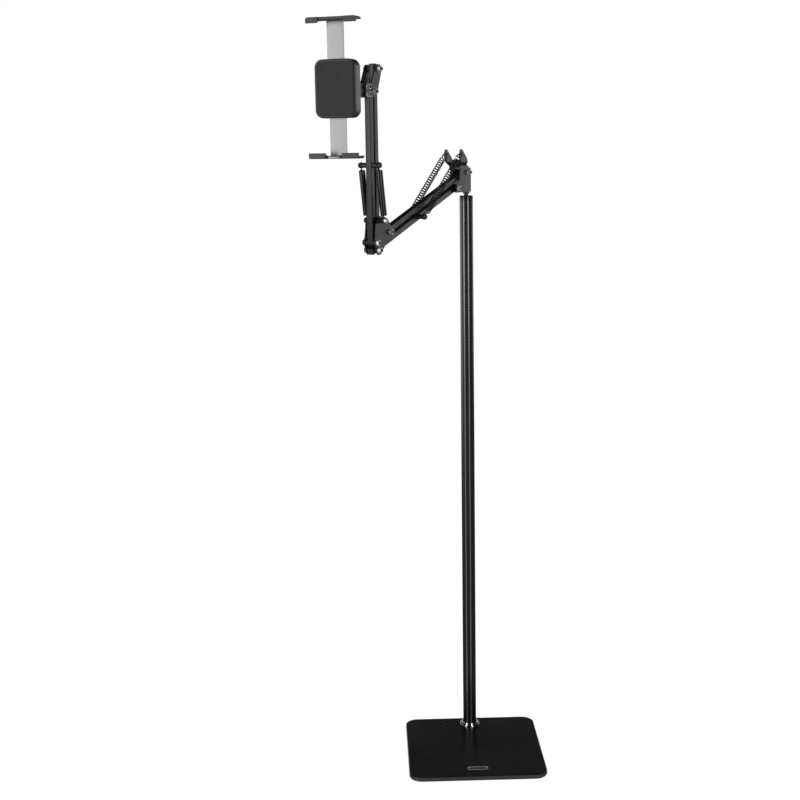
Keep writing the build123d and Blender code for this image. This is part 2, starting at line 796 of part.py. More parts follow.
# Elbow: two sheet plates, with the lower arm's pivots behind and the upper arm's in front
with BuildPart() as elbow_plates:
    for inner in (-plate_outer, plate_inner):
        with BuildSketch(ARM.offset(inner)):
            with BuildLine():
                Polyline(
                    (C2[0] - 20.4, C2[1] + 1.2),
                    (B1[0] - 4.3, B1[1] + 7.4),
                    (B1[0] - 7.8, B1[1] - 2.1),
                    (B2[0] - 13.6, B2[1] + 0.9),
                    (B2[0] - 7.1, B2[1] - 7.3),
                    (B2[0] + 2.9, B2[1] - 7.6),
                    (C1[0] + 7.5, C1[1]),
                    (C1[0] + 3.5, C1[1] + 11.1),
                    (C2[0] + 14.1, C2[1] - 4.8),
                    (C2[0] + 6.1, C2[1] + 6.7),
                    (C2[0] - 5.4, C2[1] + 6.7),
                    close=True,
                )
            outline = make_face()
            fillet(outline.vertices(), elbow_corner)
            with Locations(B1, B2, C1, C2):
                Circle(pivot_diameter / 2 + bolt_hole_gap, mode=Mode.SUBTRACT)
        extrude(amount=sheet)
save(elbow_plates, "elbow_plates")
save(pivot_bolts([B1, B2, C1]), "elbow_bolts")
save(pivot_nuts([B1, B2, C1]), "elbow_nuts")
save(pivot_washers([B1, B2, C1], [B1, B2, C1, C2]), "elbow_washers")

# Sleeved springs of the upper arm: smooth moulded sleeves between the elbow's pin and the
# pin through the front tube, each with a wire hook at its foot
sleeve_lean = math.atan2(UPPER_PIN[1] - C2[1], UPPER_PIN[0] - C2[0])
sleeve_span = math.hypot(UPPER_PIN[0] - C2[0], UPPER_PIN[1] - C2[1])
sleeve_way = ARM.x_dir * math.cos(sleeve_lean) + ARM.y_dir * math.sin(sleeve_lean)


def sleeve_plane(side):
    """The plane through a sleeved spring's axis, its X axis up along the sleeve from the elbow's pin."""
    centre = ARM.from_local_coords((C2[0], C2[1], side * sleeve_offset))
    return Plane(origin=centre, x_dir=sleeve_way, z_dir=ARM.z_dir)


with BuildPart() as spring_sleeves:
    for side in (-1, 1):
        profile = sleeve_plane(side)
        sleeve_end = sleeve_start + sleeve_length
        sleeve_radius = sleeve_diameter / 2
        sleeve_bore = sleeve_radius - sleeve_wall
        with BuildSketch(profile):
            with BuildLine():
                Polyline(
                    (sleeve_start, sleeve_bore),
                    (sleeve_end, sleeve_bore),
                    (sleeve_end, sleeve_radius - 0.6),
                    (sleeve_end - 1.2, sleeve_radius),
                    (sleeve_start + 1.2, sleeve_radius),
                    (sleeve_start, sleeve_radius - 0.6),
                    close=True,
                )
            make_face()
        revolve(axis=Axis(profile.origin, sleeve_way))
save(spring_sleeves, "spring_sleeves")


with BuildPart() as sleeve_hooks:
    for side in (-1, 1):
        ring = pin_groove_diameter / 2 + sleeve_hook_wire / 2 + hook_gap
        profile = sleeve_plane(side)
        with BuildSketch(profile):
            Circle(ring + sleeve_hook_wire / 2)
            Circle(ring - sleeve_hook_wire / 2, mode=Mode.SUBTRACT)
        extrude(amount=sleeve_hook_wire / 2, both=True)
        with BuildSketch(profile):
            with Locations(((ring + core_start) / 2, 0)):
                Rectangle(core_start - ring, sleeve_hook_wire)
        extrude(amount=sleeve_hook_wire / 2, both=True)
        with BuildSketch(Plane(origin=profile.from_local_coords((core_start, 0, 0)), z_dir=sleeve_way)):
            Circle(sleeve_diameter / 2 - sleeve_wall - fit_gap)
        extrude(amount=core_foot)
save(sleeve_hooks, "sleeve_hooks")

# What slides out of the sleeves as the upper arm leans: the springs' cores and upper hooks
with BuildPart() as spring_cores:
    for side in (-1, 1):
        ring = pin_groove_diameter / 2 + sleeve_hook_wire / 2 + hook_gap
        profile = sleeve_plane(side)
        with BuildSketch(profile):
            with Locations((sleeve_span, 0)):
                Circle(ring + sleeve_hook_wire / 2)
                Circle(ring - sleeve_hook_wire / 2, mode=Mode.SUBTRACT)
        extrude(amount=sleeve_hook_wire / 2, both=True)
        core_top = sleeve_span - ring - 1.5
        with BuildSketch(profile):
            with Locations(((core_top + sleeve_span - ring) / 2, 0)):
                Rectangle(sleeve_span - ring - core_top + 0.4, sleeve_hook_wire)
        extrude(amount=sleeve_hook_wire / 2, both=True)
        foot_z = core_start + core_foot + 1.0
        with BuildSketch(Plane(origin=profile.from_local_coords((foot_z, 0, 0)), z_dir=sleeve_way)):
            Circle(core_diameter / 2)
        extrude(amount=core_top - foot_z)
save(spring_cores, "spring_cores")


# Head: two plates on the upper arm's top pivots, and a block between them for the swivel
HEAD_BOLTS = [
    (D1[0] + head_bolt_forward, SWIVEL[1] - head_bolt_spacing / 2),
    (D1[0] + head_bolt_forward, SWIVEL[1] + head_bolt_spacing / 2),
]
head_front = HEAD_BOLTS[0][0] + head_margin
head_foot = SWIVEL[1] - head_block_height / 2
head_top = SWIVEL[1] + head_block_height / 2
with BuildPart() as head_plates:
    for inner in (-plate_outer, plate_inner):
        with BuildSketch(ARM.offset(inner)):
            with BuildLine():
                Polyline(
                    (D2[0] - 7.0, D2[1] + 7.0),
                    (D2[0] - 7.0, D2[1] - 7.0),
                    (D1[0] - 7.0, head_foot),
                    (head_front, head_foot),
                    (head_front, head_top),
                    (D1[0] + 8.0, head_top),
                    (D2[0] + 7.0, D2[1] + 7.0),
                    close=True,
                )
            outline = make_face()
            fillet(outline.vertices(), head_corner)
            with Locations(D1, D2, *HEAD_BOLTS):
                Circle(pivot_diameter / 2 + bolt_hole_gap, mode=Mode.SUBTRACT)
        extrude(amount=sheet)
save(head_plates, "head_plates")
save(pivot_bolts([D1, D2, *HEAD_BOLTS]), "head_bolts")
save(pivot_nuts([D1, D2, *HEAD_BOLTS]), "head_nuts")
save(pivot_washers([D1, D2, *HEAD_BOLTS], [D1, D2]), "head_washers")

block_width = plate_gap - 2 * fit_gap
with BuildPart() as head_block:
    with BuildSketch(Plane.XY.offset(SWIVEL[1] - head_block_height / 2)):
        with Locations(Location(swivel_point * 1, (0, 0, 180 + arm_turn))):
            Circle(block_width / 2)
            with Locations((-head_block_reach / 2, 0)):
                Rectangle(head_block_reach, block_width)
            Circle(yoke_pin_diameter / 2 + fit_gap, mode=Mode.SUBTRACT)
    extrude(amount=head_block_height)
    with BuildSketch(ARM.offset(-plate_gap)):
        with Locations(*HEAD_BOLTS):
            Circle(pivot_diameter / 2 + fit_gap)
    extrude(amount=2 * plate_gap, mode=Mode.SUBTRACT)
save(head_block, "head_block")

# Swivel yoke: two legs over and under the block, a web and a tongue for the tilt
leg_foot = head_block_height / 2 + cheek_gap
yoke_half = leg_foot + yoke_leg
yoke_radius = block_width / 2
with BuildPart() as swivel_yoke:
    with BuildSketch(SIDE):
        with Locations(((yoke_web_start + yoke_web) / 2, 0)):
            Rectangle(yoke_web_start + yoke_web, 2 * yoke_half)
        with Locations((yoke_web_start / 2, 0)):
            Rectangle(yoke_web_start, 2 * leg_foot, mode=Mode.SUBTRACT)
    extrude(amount=yoke_radius, both=True)
    for level in (-yoke_half, leg_foot):
        with BuildSketch(Plane.XY.offset(SWIVEL[1] + level)):
            with Locations(swivel_point):
                Circle(yoke_radius)
        extrude(amount=yoke_leg)
    with BuildSketch(SIDE):
        with Locations((tilt_forward, 0)):
            Circle(tongue_radius)
        with Locations(((yoke_web_start + yoke_web + tilt_forward) / 2, 0)):
            Rectangle(tilt_forward - yoke_web_start - yoke_web, 2 * tongue_radius)
    extrude(amount=tongue_thickness / 2, both=True)
    with BuildSketch(SIDE):
        with Locations((tilt_forward, 0)):
            Circle(pivot_diameter / 2 + fit_gap)
    extrude(amount=tongue_thickness, both=True, mode=Mode.SUBTRACT)
    with BuildSketch(Plane.XY.offset(SWIVEL[1] - yoke_half)):
        with Locations(swivel_point):
            Circle(yoke_pin_diameter / 2 + fit_gap)
    extrude(amount=2 * yoke_half, mode=Mode.SUBTRACT)
save(swivel_yoke, "swivel_yoke")

# Pin of the swivel, with a low head at each end
with BuildPart() as yoke_pin:
    with BuildSketch(Plane.XY.offset(SWIVEL[1] - yoke_half)):
        with Locations(swivel_point):
            Circle(yoke_pin_diameter / 2)
    extrude(amount=2 * yoke_half)
    for level in (-yoke_half - yoke_pin_head, yoke_half):
        with BuildSketch(Plane.XY.offset(SWIVEL[1] + level)):
            with Locations(swivel_point):
                Circle(yoke_pin_diameter / 2 + 1.5)
        extrude(amount=yoke_pin_head)
save(yoke_pin, "yoke_pin")

# Tilt block: two cheeks beside the tongue, a disc that the holder turns on, and its shaft
cheek_inner = tongue_thickness / 2 + cheek_gap
cheek_outer = cheek_inner + cheek_thickness
fork_start = tilt_forward + tongue_radius + 0.5
disc_end = disc_start + disc_thickness
with BuildPart() as tilt_block:
    with BuildSketch(SIDE):
        with Locations((tilt_forward, 0)):
            Circle(tongue_radius)
        with Locations(((tilt_forward + disc_start) / 2, 0)):
            Rectangle(disc_start - tilt_forward, 2 * tongue_radius)
    extrude(amount=cheek_outer, both=True)
    with BuildSketch(SIDE):
        with Locations((fork_start / 2, 0)):
            Rectangle(fork_start, 4 * tongue_radius)
    extrude(amount=cheek_inner, both=True, mode=Mode.SUBTRACT)
    with BuildSketch(HOLD.offset(disc_start)):
        Circle(disc_diameter / 2)
    extrude(amount=disc_thickness)
    with BuildSketch(HOLD.offset(disc_end)):
        Circle(spin_shaft_diameter / 2)
    extrude(amount=shaft_reach)
    with BuildSketch(SIDE):
        with Locations((tilt_forward, 0)):
            Circle(pivot_diameter / 2 + fit_gap)
    extrude(amount=2 * cheek_outer, both=True, mode=Mode.SUBTRACT)
save(tilt_block, "tilt_block")

# Tilt bolt and its star knob: the bolt's head is on the far side, its thread in the knob
knob_seat = cheek_outer + cheek_gap
with BuildPart() as tilt_bolt:
    with BuildSketch(SIDE.offset(-knob_seat - knob_length + knob_floor)):
        with Locations((tilt_forward, 0)):
            Circle(pivot_diameter / 2)
    extrude(amount=knob_seat + knob_length - knob_floor + cheek_outer)
    with BuildSketch(SIDE.offset(cheek_outer)):
        with Locations((tilt_forward, 0)):
            RegularPolygon(head_across / 2, 6, major_radius=False)
    extrude(amount=head_height)
save(tilt_bolt, "tilt_bolt")

with BuildPart() as tilt_knob:
    with BuildSketch(SIDE.offset(-knob_seat)):
        with Locations((tilt_forward, 0)):
            Circle(knob_diameter / 2 - knob_lobe_radius)
            with PolarLocations(knob_diameter / 2 - knob_lobe_radius, knob_lobes):
                Circle(knob_lobe_radius)
    extrude(amount=-knob_length)
    chamfer(tilt_knob.faces().sort_by(Axis(SIDE.origin, SIDE.z_dir))[0].edges(), 0.8)
    with BuildSketch(SIDE.offset(-knob_seat)):
        with Locations((tilt_forward, 0)):
            Circle(pivot_diameter / 2 + fit_gap)
    extrude(amount=knob_floor - knob_length, mode=Mode.SUBTRACT)
save(tilt_knob, "tilt_knob")

# Holder body: a back shell on the spin shaft, with slots for both rails in its end walls
# and two ribs that guide them, and a front cover with a rubber face
back_start = disc_end + spin_gap
front_start = back_start + holder_back_depth
face_start = front_start + holder_front_depth
upper_rail_start = front_start - rail_front_inset - rail_thickness
lower_rail_start = upper_rail_start - rail_gap - rail_thickness
slot_start = lower_rail_start - slide_gap
slot_depth = upper_rail_start + rail_thickness + slide_gap - slot_start
inner_height = holder_height - 2 * holder_wall
with BuildPart() as holder_back:
    with BuildSketch(HOLD.offset(back_start)):
        RectangleRounded(holder_width, holder_height, holder_corner)
    extrude(amount=holder_back_depth)
    chamfer(holder_back.faces().sort_by(Axis(HOLD.origin, HOLD.z_dir))[0].edges(), 1.2)
    with BuildSketch(HOLD.offset(back_start + holder_wall)):
        inner_corner = holder_corner - holder_wall
        RectangleRounded(holder_width - 2 * holder_wall, inner_height, inner_corner)
    extrude(amount=holder_back_depth, mode=Mode.SUBTRACT)
    with BuildSketch(HOLD.offset(slot_start)):
        for side in (-1, 1):
            with Locations((side * (rail_width / 2 + slide_gap + rib_thickness / 2), 0)):
                Rectangle(rib_thickness, inner_height + holder_wall)
    extrude(amount=front_start - slot_start)
    with BuildSketch(HOLD.offset(slot_start)):
        Rectangle(rail_width + 2 * slide_gap, 2 * holder_height)
    extrude(amount=slot_depth, mode=Mode.SUBTRACT)
    with BuildSketch(HOLD.offset(back_start)):
        Circle(spin_shaft_diameter / 2 + fit_gap)
    extrude(amount=holder_wall, mode=Mode.SUBTRACT)
save(holder_back, "holder_back")

with BuildPart() as holder_front:
    with BuildSketch(HOLD.offset(front_start)):
        RectangleRounded(holder_width, holder_height, holder_corner)
    extrude(amount=holder_front_depth)
    chamfer(holder_front.faces().sort_by(Axis(HOLD.origin, HOLD.z_dir))[-1].edges(), 1.2)
save(holder_front, "holder_front")

with BuildPart() as face_pad:
    with BuildSketch(HOLD.offset(face_start)):
        RectangleRounded(holder_width - 6.0, holder_height - 6.0, holder_corner - 3.0)
    extrude(amount=face_pad_thickness)
save(face_pad, "face_pad")

# Washer and nut that keep the holder on the spin shaft
nut_foot = back_start + holder_wall + spin_washer_thickness
with BuildPart() as spin_washer:
    with BuildSketch(HOLD.offset(back_start + holder_wall)):
        Circle(spin_shaft_diameter)
        Circle(spin_shaft_diameter / 2 + bolt_hole_gap, mode=Mode.SUBTRACT)
    extrude(amount=spin_washer_thickness)
save(spin_washer, "spin_washer")

with BuildPart() as spin_nut:
    with BuildSketch(HOLD.offset(nut_foot)):
        RegularPolygon(0.8 * spin_shaft_diameter, 6, major_radius=False)
        Circle(spin_shaft_diameter / 2 + fit_gap, mode=Mode.SUBTRACT)
    extrude(amount=disc_end + shaft_reach - nut_foot)
save(spin_nut, "spin_nut")

# Rolled spring bands that pull the jaws together, each on a pin between the shell's walls
band_level = inner_height / 2 - band_setback
band_centre = back_start + holder_wall + band_diameter / 2 + 0.2
with BuildPart() as grip_springs:
    with BuildSketch(SIDE):
        with Locations((band_centre, band_level), (band_centre, -band_level)):
            Circle(band_diameter / 2)
        with Locations((band_centre, band_level), (band_centre, -band_level)):
            Circle(band_pin_diameter / 2 + fit_gap, mode=Mode.SUBTRACT)
    extrude(amount=band_width / 2, both=True)
save(grip_springs, "grip_springs")

with BuildPart() as grip_spring_pins:
    with BuildSketch(SIDE):
        with Locations((band_centre, band_level), (band_centre, -band_level)):
            Circle(band_pin_diameter / 2)
    extrude(amount=holder_width / 2 - holder_wall, both=True)
save(grip_spring_pins, "grip_spring_pins")


def jaw(level, rail_start, notch_width, notch_depth):
    """One jaw, above for 1 and below for -1: a shelf with rounded ends, a root and a notched lip."""
    shelf_inner = jaw_opening / 2 + jaw_pad_thickness
    shelf_outer = shelf_inner + jaw_shelf
    lip_start = face_start + face_pad_thickness + jaw_reach - jaw_lip
    with BuildPart() as clamp:
        with BuildSketch(SIDE):
            with BuildLine():
                Polyline(
                    (rail_start - jaw_root_wall, level * shelf_inner),
                    (lip_start, level * shelf_inner),
                    (lip_start, level * (jaw_opening / 2 - jaw_lip_height)),
                    (lip_start + jaw_lip, level * (jaw_opening / 2 - jaw_lip_height)),
                    (lip_start + jaw_lip, level * shelf_outer),
                    (rail_start - jaw_root_wall, level * shelf_outer),
                    close=True,
                )
            make_face()
        extrude(amount=jaw_width / 2, both=True)
        ends = clamp.edges().filter_by(Axis(HOLD.origin, HOLD.z_dir)).group_by(Axis(HOLD.origin, HOLD.x_dir))
        both = [*ends[0], *ends[-1]]
        outer = [edge for edge in both if abs(edge.center().Z - SWIVEL[1]) > shelf_outer - 0.1]
        fillet(outer, jaw_shelf - 0.8)
        with BuildSketch(HOLD.offset(rail_start)):
            with Locations((0, level * (shelf_inner + rail_grip / 2))):
                Rectangle(rail_width, rail_grip)
        extrude(amount=rail_thickness, mode=Mode.SUBTRACT)
        with BuildSketch(HOLD.offset(lip_start + jaw_lip)):
            with Locations((0, level * jaw_opening / 2)):
                Rectangle(notch_width, 6 * jaw_shelf)
        extrude(amount=-notch_depth, mode=Mode.SUBTRACT)
        if level < 0:
            with BuildSketch(HOLD.offset(lip_start + jaw_lip - notch_depth)):
                with Locations((0, level * (shelf_inner + jaw_shelf / 2))):
                    Rectangle(bar_width, bar_thickness)
            extrude(amount=-bar_tail, mode=Mode.SUBTRACT)
    return clamp


def rail(level, rail_start):
    """A flat steel rail from the jaw's root into the holder body, with rounded lower corners."""
    root = jaw_opening / 2 + jaw_pad_thickness + rail_grip
    with BuildPart() as bar:
        with BuildSketch(HOLD.offset(rail_start)):
            with Locations((0, level * (root - rail_length / 2))):
                Rectangle(rail_width, rail_length)
        extrude(amount=rail_thickness)
        far_edges = bar.edges().filter_by(Axis(HOLD.origin, HOLD.z_dir)).group_by(Axis.Z)
        fillet(far_edges[0] if level > 0 else far_edges[-1], 3.0)
    return bar


def jaw_pad(level, notch):
    """The rubber strip on a jaw's shelf, where the device rests. A notch parts it into two."""
    pad_depth = jaw_reach - jaw_lip - 2 * slide_gap
    half = jaw_width / 2 - 4.0
    with BuildPart() as strip:
        with BuildSketch(HOLD.offset(face_start + face_pad_thickness + slide_gap)):
            for side in (-1, 1):
                with Locations((side * (half + notch) / 2, level * (jaw_opening + jaw_pad_thickness) / 2)):
                    Rectangle(half - notch, jaw_pad_thickness)
        extrude(amount=pad_depth)
    return strip


save(jaw(1, upper_rail_start, upper_notch_width, jaw_lip), "upper_jaw")
save(rail(1, upper_rail_start), "upper_rail")
save(jaw_pad(1, 0), "upper_jaw_pad")
save(jaw(-1, lower_rail_start, lower_notch_width, lower_notch_depth), "lower_jaw")
save(rail(-1, lower_rail_start), "lower_rail")
save(jaw_pad(-1, lower_notch_width / 2 + 1.0), "lower_jaw_pads")

# Steel bar that shows in the lower jaw's notch, let into the shelf behind it
bar_front = face_start + face_pad_thickness + jaw_reach - 1.0
bar_length = lower_notch_depth - 1.0 + bar_tail
bar_level = -(jaw_opening / 2 + jaw_pad_thickness + jaw_shelf / 2)
with BuildPart() as jaw_bar:
    with BuildSketch(HOLD.offset(bar_front - bar_length)):
        with Locations((0, bar_level)):
            Rectangle(bar_width, bar_thickness)
    extrude(amount=bar_length)
    front_edges = jaw_bar.edges().filter_by(Axis.Z).group_by(Axis(HOLD.origin, HOLD.z_dir))[-1]
    fillet(front_edges, 3.0)
save(jaw_bar, "jaw_bar")
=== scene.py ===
import math

import bmesh
import bpy
from mathutils import Matrix, Vector


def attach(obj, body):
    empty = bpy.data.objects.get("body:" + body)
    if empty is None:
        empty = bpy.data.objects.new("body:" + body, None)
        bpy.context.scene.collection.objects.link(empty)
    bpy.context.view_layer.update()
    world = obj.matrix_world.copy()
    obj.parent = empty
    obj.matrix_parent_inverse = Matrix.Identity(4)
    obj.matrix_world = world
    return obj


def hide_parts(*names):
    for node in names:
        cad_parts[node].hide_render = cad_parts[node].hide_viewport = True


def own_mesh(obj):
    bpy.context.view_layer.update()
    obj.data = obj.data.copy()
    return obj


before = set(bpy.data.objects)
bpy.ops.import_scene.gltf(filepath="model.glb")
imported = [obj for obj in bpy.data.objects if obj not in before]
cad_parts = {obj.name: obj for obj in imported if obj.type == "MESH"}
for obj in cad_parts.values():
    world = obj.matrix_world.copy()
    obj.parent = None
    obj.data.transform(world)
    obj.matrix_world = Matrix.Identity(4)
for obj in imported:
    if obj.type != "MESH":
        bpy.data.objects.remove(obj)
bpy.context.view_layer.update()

# View: the camera stands in front of the stand, a little above its elbow, and looks down
# along it. Its place and lens are the ones at which the base, pole and arm meet the photograph.
VIEW_PLACE = (-0.1734, -2.2502, 1.0779)
VIEW_LENS = 59.95
FILM_WIDTH = 36.0
pitch = math.radians(10.805)
roll = math.radians(0.943)
yaw = math.radians(1.270)
ahead = Vector((math.sin(yaw) * math.cos(pitch), math.cos(yaw) * math.cos(pitch), -math.sin(pitch)))
level = Vector((math.cos(yaw), -math.sin(yaw), 0.0))
down = ahead.cross(level)
across = level * math.cos(roll) + down * math.sin(roll)
above = level * math.sin(roll) - down * math.cos(roll)
lens_data = bpy.data.cameras.new("view")
lens_data.lens = VIEW_LENS
lens_data.sensor_width = FILM_WIDTH
camera = bpy.data.objects.new("view", lens_data)
view_turn = Matrix((across, above, -ahead)).transposed().to_4x4()
camera.matrix_world = Matrix.Translation(VIEW_PLACE) @ view_turn
bpy.context.scene.collection.objects.link(camera)
bpy.context.scene.camera = camera
bpy.context.scene.view_settings.view_transform = "Standard"

# Lamps: two tall strips stand left and right in front of the stand and draw the two light
# lines down the pole. Each is a stack of three, dimmer towards the floor, as the lines are.
LAMP_AIM = Vector((0.0, 0.1, 0.0))
STRIPS = (("left_strip", (-1.9, -1.5), 0.8, 5.2), ("right_strip", (1.1, -2.1), 0.6, 5.6))
STRIP_LENGTHS = (("high", 0.4, 2.2, 1.0), ("middle", -0.3, 0.4, 0.35), ("low", -1.4, -0.3, 0.28))


def strip_lamp(name, place, width, bottom, top, radiance):
    """One length of a strip lamp, turned level towards the pole."""
    lamp_data = bpy.data.lights.new(name, "AREA")
    lamp_data.shape = "RECTANGLE"
    lamp_data.size = width
    lamp_data.size_y = top - bottom
    lamp_data.energy = radiance * width * (top - bottom) * math.pi
    lamp = bpy.data.objects.new(name, lamp_data)
    lamp.location = (place[0], place[1], (bottom + top) / 2)
    lamp.rotation_euler = (LAMP_AIM - Vector((*place, 0.0))).to_track_quat("-Z", "Y").to_euler()
    lamp.visible_camera = False
    bpy.context.scene.collection.objects.link(lamp)


for length, bottom, top, share in STRIP_LENGTHS:
    for strip, place, width, radiance in STRIPS:
        strip_lamp(f"{strip}_{length}", place, width, bottom, top, radiance * share)

# Studio: white to the camera, with even light from all round on matt surfaces. In gloss it
# is white only behind the stand, near the horizon, so black paint keeps its depth.
WHITE = (1.0, 1.0, 1.0, 1.0)
EVEN_LIGHT = 0.55
WALL_LIGHT = 1.35
ROOM_LIGHT = 0.07
SKY_LIGHT = 0.015
WALL_SKEW = -0.15
WALL_SIDE = (-0.05, 0.2)
FLOOR_SKEW = -0.03
FLOOR_LINE = (-0.23, -0.09)
SKY_LINE = (0.1, 0.28)


def node(tree, kind, values=None, **settings):
    """A shader node with its settings. A value is a number or colour, or the socket that feeds it."""
    made = tree.nodes.new(kind)
    for name, value in settings.items():
        setattr(made, name, value)
    for name, value in (values or {}).items():
        if isinstance(value, bpy.types.NodeSocket):
            tree.links.new(value, made.inputs[name])
        else:
            made.inputs[name].default_value = value
    return made


def reckon(tree, operation, *values):
    """The result of a Math node's operation on up to three values."""
    return node(tree, "ShaderNodeMath", dict(enumerate(values)), operation=operation).outputs[0]


def ramp(tree, value, low, high, start=0.0, end=1.0, course="SMOOTHSTEP"):
    """Goes from start to end while the value goes from low to high."""
    reach = {"From Min": low, "From Max": high, "To Min": start, "To Max": end}
    return node(tree, "ShaderNodeMapRange", {"Value": value, **reach}, interpolation_type=course).outputs[0]


def mixture(tree, share, first, second):
    """Two shaders, with a share of the second."""
    return node(tree, "ShaderNodeMixShader", {0: share, 1: first, 2: second}).outputs[0]


def white_light(tree, strength):
    """The studio's white at a strength."""
    return node(tree, "ShaderNodeBackground", {"Color": WHITE, "Strength": strength}).outputs[0]


studio = bpy.data.worlds.new("studio")
bpy.context.scene.world = studio
studio.use_nodes = True
studio.cycles.sampling_method = "NONE"
tree = studio.node_tree
tree.nodes.clear()
way = node(tree, "ShaderNodeTexCoord").outputs["Generated"]
parts = node(tree, "ShaderNodeSeparateXYZ", {"Vector": way}).outputs
behind = ramp(tree, reckon(tree, "MULTIPLY_ADD", parts["X"], WALL_SKEW, parts["Y"]), *WALL_SIDE)
over_floor = ramp(tree, reckon(tree, "MULTIPLY_ADD", parts["X"], FLOOR_SKEW, parts["Z"]), *FLOOR_LINE)
below_sky = ramp(tree, parts["Z"], *SKY_LINE, 1.0, 0.0)
wall = reckon(tree, "MULTIPLY", behind, over_floor)
bright = reckon(tree, "MULTIPLY_ADD", wall, WALL_LIGHT, ROOM_LIGHT)
mirrored = reckon(tree, "MULTIPLY_ADD", bright, below_sky, SKY_LIGHT)
ray = node(tree, "ShaderNodeLightPath").outputs
lit = mixture(tree, ray["Is Glossy Ray"], white_light(tree, EVEN_LIGHT), white_light(tree, mirrored))
seen = mixture(tree, ray["Is Camera Ray"], lit, white_light(tree, 1.0))
node(tree, "ShaderNodeOutputWorld", {"Surface": seen})

# Floor: a white studio floor that runs into the white behind it and keeps the base's soft
# shadow. Gloss sees the studio through it.
FLOOR_REACH = 12.0
FLOOR_WHITE = (0.9, 0.9, 0.9, 1.0)
FLOOR_GLOW = 1.22
GLOW_SHARE = 0.7
sheet = bmesh.new()
bmesh.ops.create_grid(sheet, x_segments=1, y_segments=1, size=FLOOR_REACH)
floor_mesh = bpy.data.meshes.new("floor")
sheet.to_mesh(floor_mesh)
sheet.free()
floor = bpy.data.objects.new("floor", floor_mesh)
bpy.context.scene.collection.objects.link(floor)
floor_paint = bpy.data.materials.new("white_floor")
floor_paint.use_nodes = True
tree = floor_paint.node_tree
tree.nodes.clear()
matt = node(tree, "ShaderNodeBsdfDiffuse", {"Color": FLOOR_WHITE}).outputs[0]
glow = node(tree, "ShaderNodeEmission", {"Color": WHITE, "Strength": FLOOR_GLOW}).outputs[0]
clear = node(tree, "ShaderNodeBsdfTransparent").outputs[0]
ray = node(tree, "ShaderNodeLightPath").outputs
direct = mixture(tree, ray["Is Camera Ray"], matt, mixture(tree, GLOW_SHARE, matt, glow))
through = reckon(tree, "MAXIMUM", ray["Is Glossy Ray"], ray["Is Shadow Ray"])
node(tree, "ShaderNodeOutputMaterial", {"Surface": mixture(tree, through, direct, clear)})
floor_mesh.materials.append(floor_paint)

# Base plate: a heavy steel plate, 240 mm square and 6 mm thick, with rounded corners and a
# broken top edge. It is powder coated black, with a fine grain, and its sides are a lighter grey than its
# top.
MM = 0.001
MICRON = 0.000001
SIDE_GREY_HEIGHTS = (7.2 * MM, 7.9 * MM)
SIDE_GREY = (0.035, 0.035, 0.036, 1.0)
DRIFT_RANGE = (0.2, 0.8)


def finish(
    name, dark, light, roughness, spread, drift, grain, relief, metal=0.0, ior=1.5, stretch=(1.0, 1.0, 1.0)
):
    """A finish: two tones and a roughness that drift over the surface, and a fine relief.

    Drift and grain are how often each repeats in a metre. Relief is the depth of the grain in microns.
    """
    material = bpy.data.materials.new(name)
    material.use_nodes = True
    tree = material.node_tree
    shader = tree.nodes["Principled BSDF"]
    shader.inputs["Metallic"].default_value = metal
    shader.inputs["IOR"].default_value = ior
    place = node(tree, "ShaderNodeTexCoord").outputs["Object"]
    drawn = node(tree, "ShaderNodeMapping", {"Vector": place, "Scale": stretch}).outputs[0]
    clouds = {"Vector": drawn, "Scale": drift, "Detail": 3.0, "Roughness": 0.5}
    wide = node(tree, "ShaderNodeTexNoise", clouds).outputs[0]
    grit = {"Vector": drawn, "Scale": grain, "Detail": 2.0, "Roughness": 0.5}
    fine = node(tree, "ShaderNodeTexNoise", grit).outputs[0]
    tones = {0: wide, 6: (*dark, 1.0), 7: (*light, 1.0)}
    tone = node(tree, "ShaderNodeMix", tones, data_type="RGBA").outputs[2]
    dullness = ramp(tree, wide, *DRIFT_RANGE, roughness - spread, roughness + spread, "LINEAR")
    hollows = {"Strength": 1.0, "Distance": relief * MICRON, "Height": fine}
    rise = node(tree, "ShaderNodeBump", hollows).outputs[0]
    tree.links.new(tone, shader.inputs["Base Color"])
    tree.links.new(dullness, shader.inputs["Roughness"])
    tree.links.new(rise, shader.inputs["Normal"])
    return material


def cover(name, material):
    """Lays a finish on a CAD node."""
    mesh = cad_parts[name].data
    mesh.materials.clear()
    mesh.materials.append(material)


plate_coat = finish(
    "plate_coat", (0.0035, 0.0035, 0.0037), (0.0065, 0.0065, 0.0067), roughness=0.24, spread=0.04,
    drift=7.0, grain=1400.0, relief=3.0,
)
tree = plate_coat.node_tree
# Up to 7.2 mm above the floor the plate takes a lighter grey, which fades out by 7.9 mm, just under its top.
height = node(tree, "ShaderNodeSeparateXYZ", {"Vector": tree.nodes["Mapping"].outputs[0]}).outputs["Z"]
sides = ramp(tree, height, *SIDE_GREY_HEIGHTS, 1.0, 0.0, "LINEAR")
tones = {0: sides, 6: tree.nodes["Mix"].outputs[2], 7: SIDE_GREY}
side_toned = node(tree, "ShaderNodeMix", tones, data_type="RGBA").outputs[2]
tree.links.new(side_toned, tree.nodes["Principled BSDF"].inputs["Base Color"])
cover("base_plate", plate_coat)

# Anti-slip pad: a sheet of black foam rubber, cut a little smaller than the plate and glued
# under it.
foam_rubber = finish(
    "foam_rubber", (0.008, 0.008, 0.008), (0.016, 0.016, 0.016), roughness=0.8, spread=0.06,
    drift=60.0, grain=900.0, relief=30.0,
)
cover("base_pad", foam_rubber)

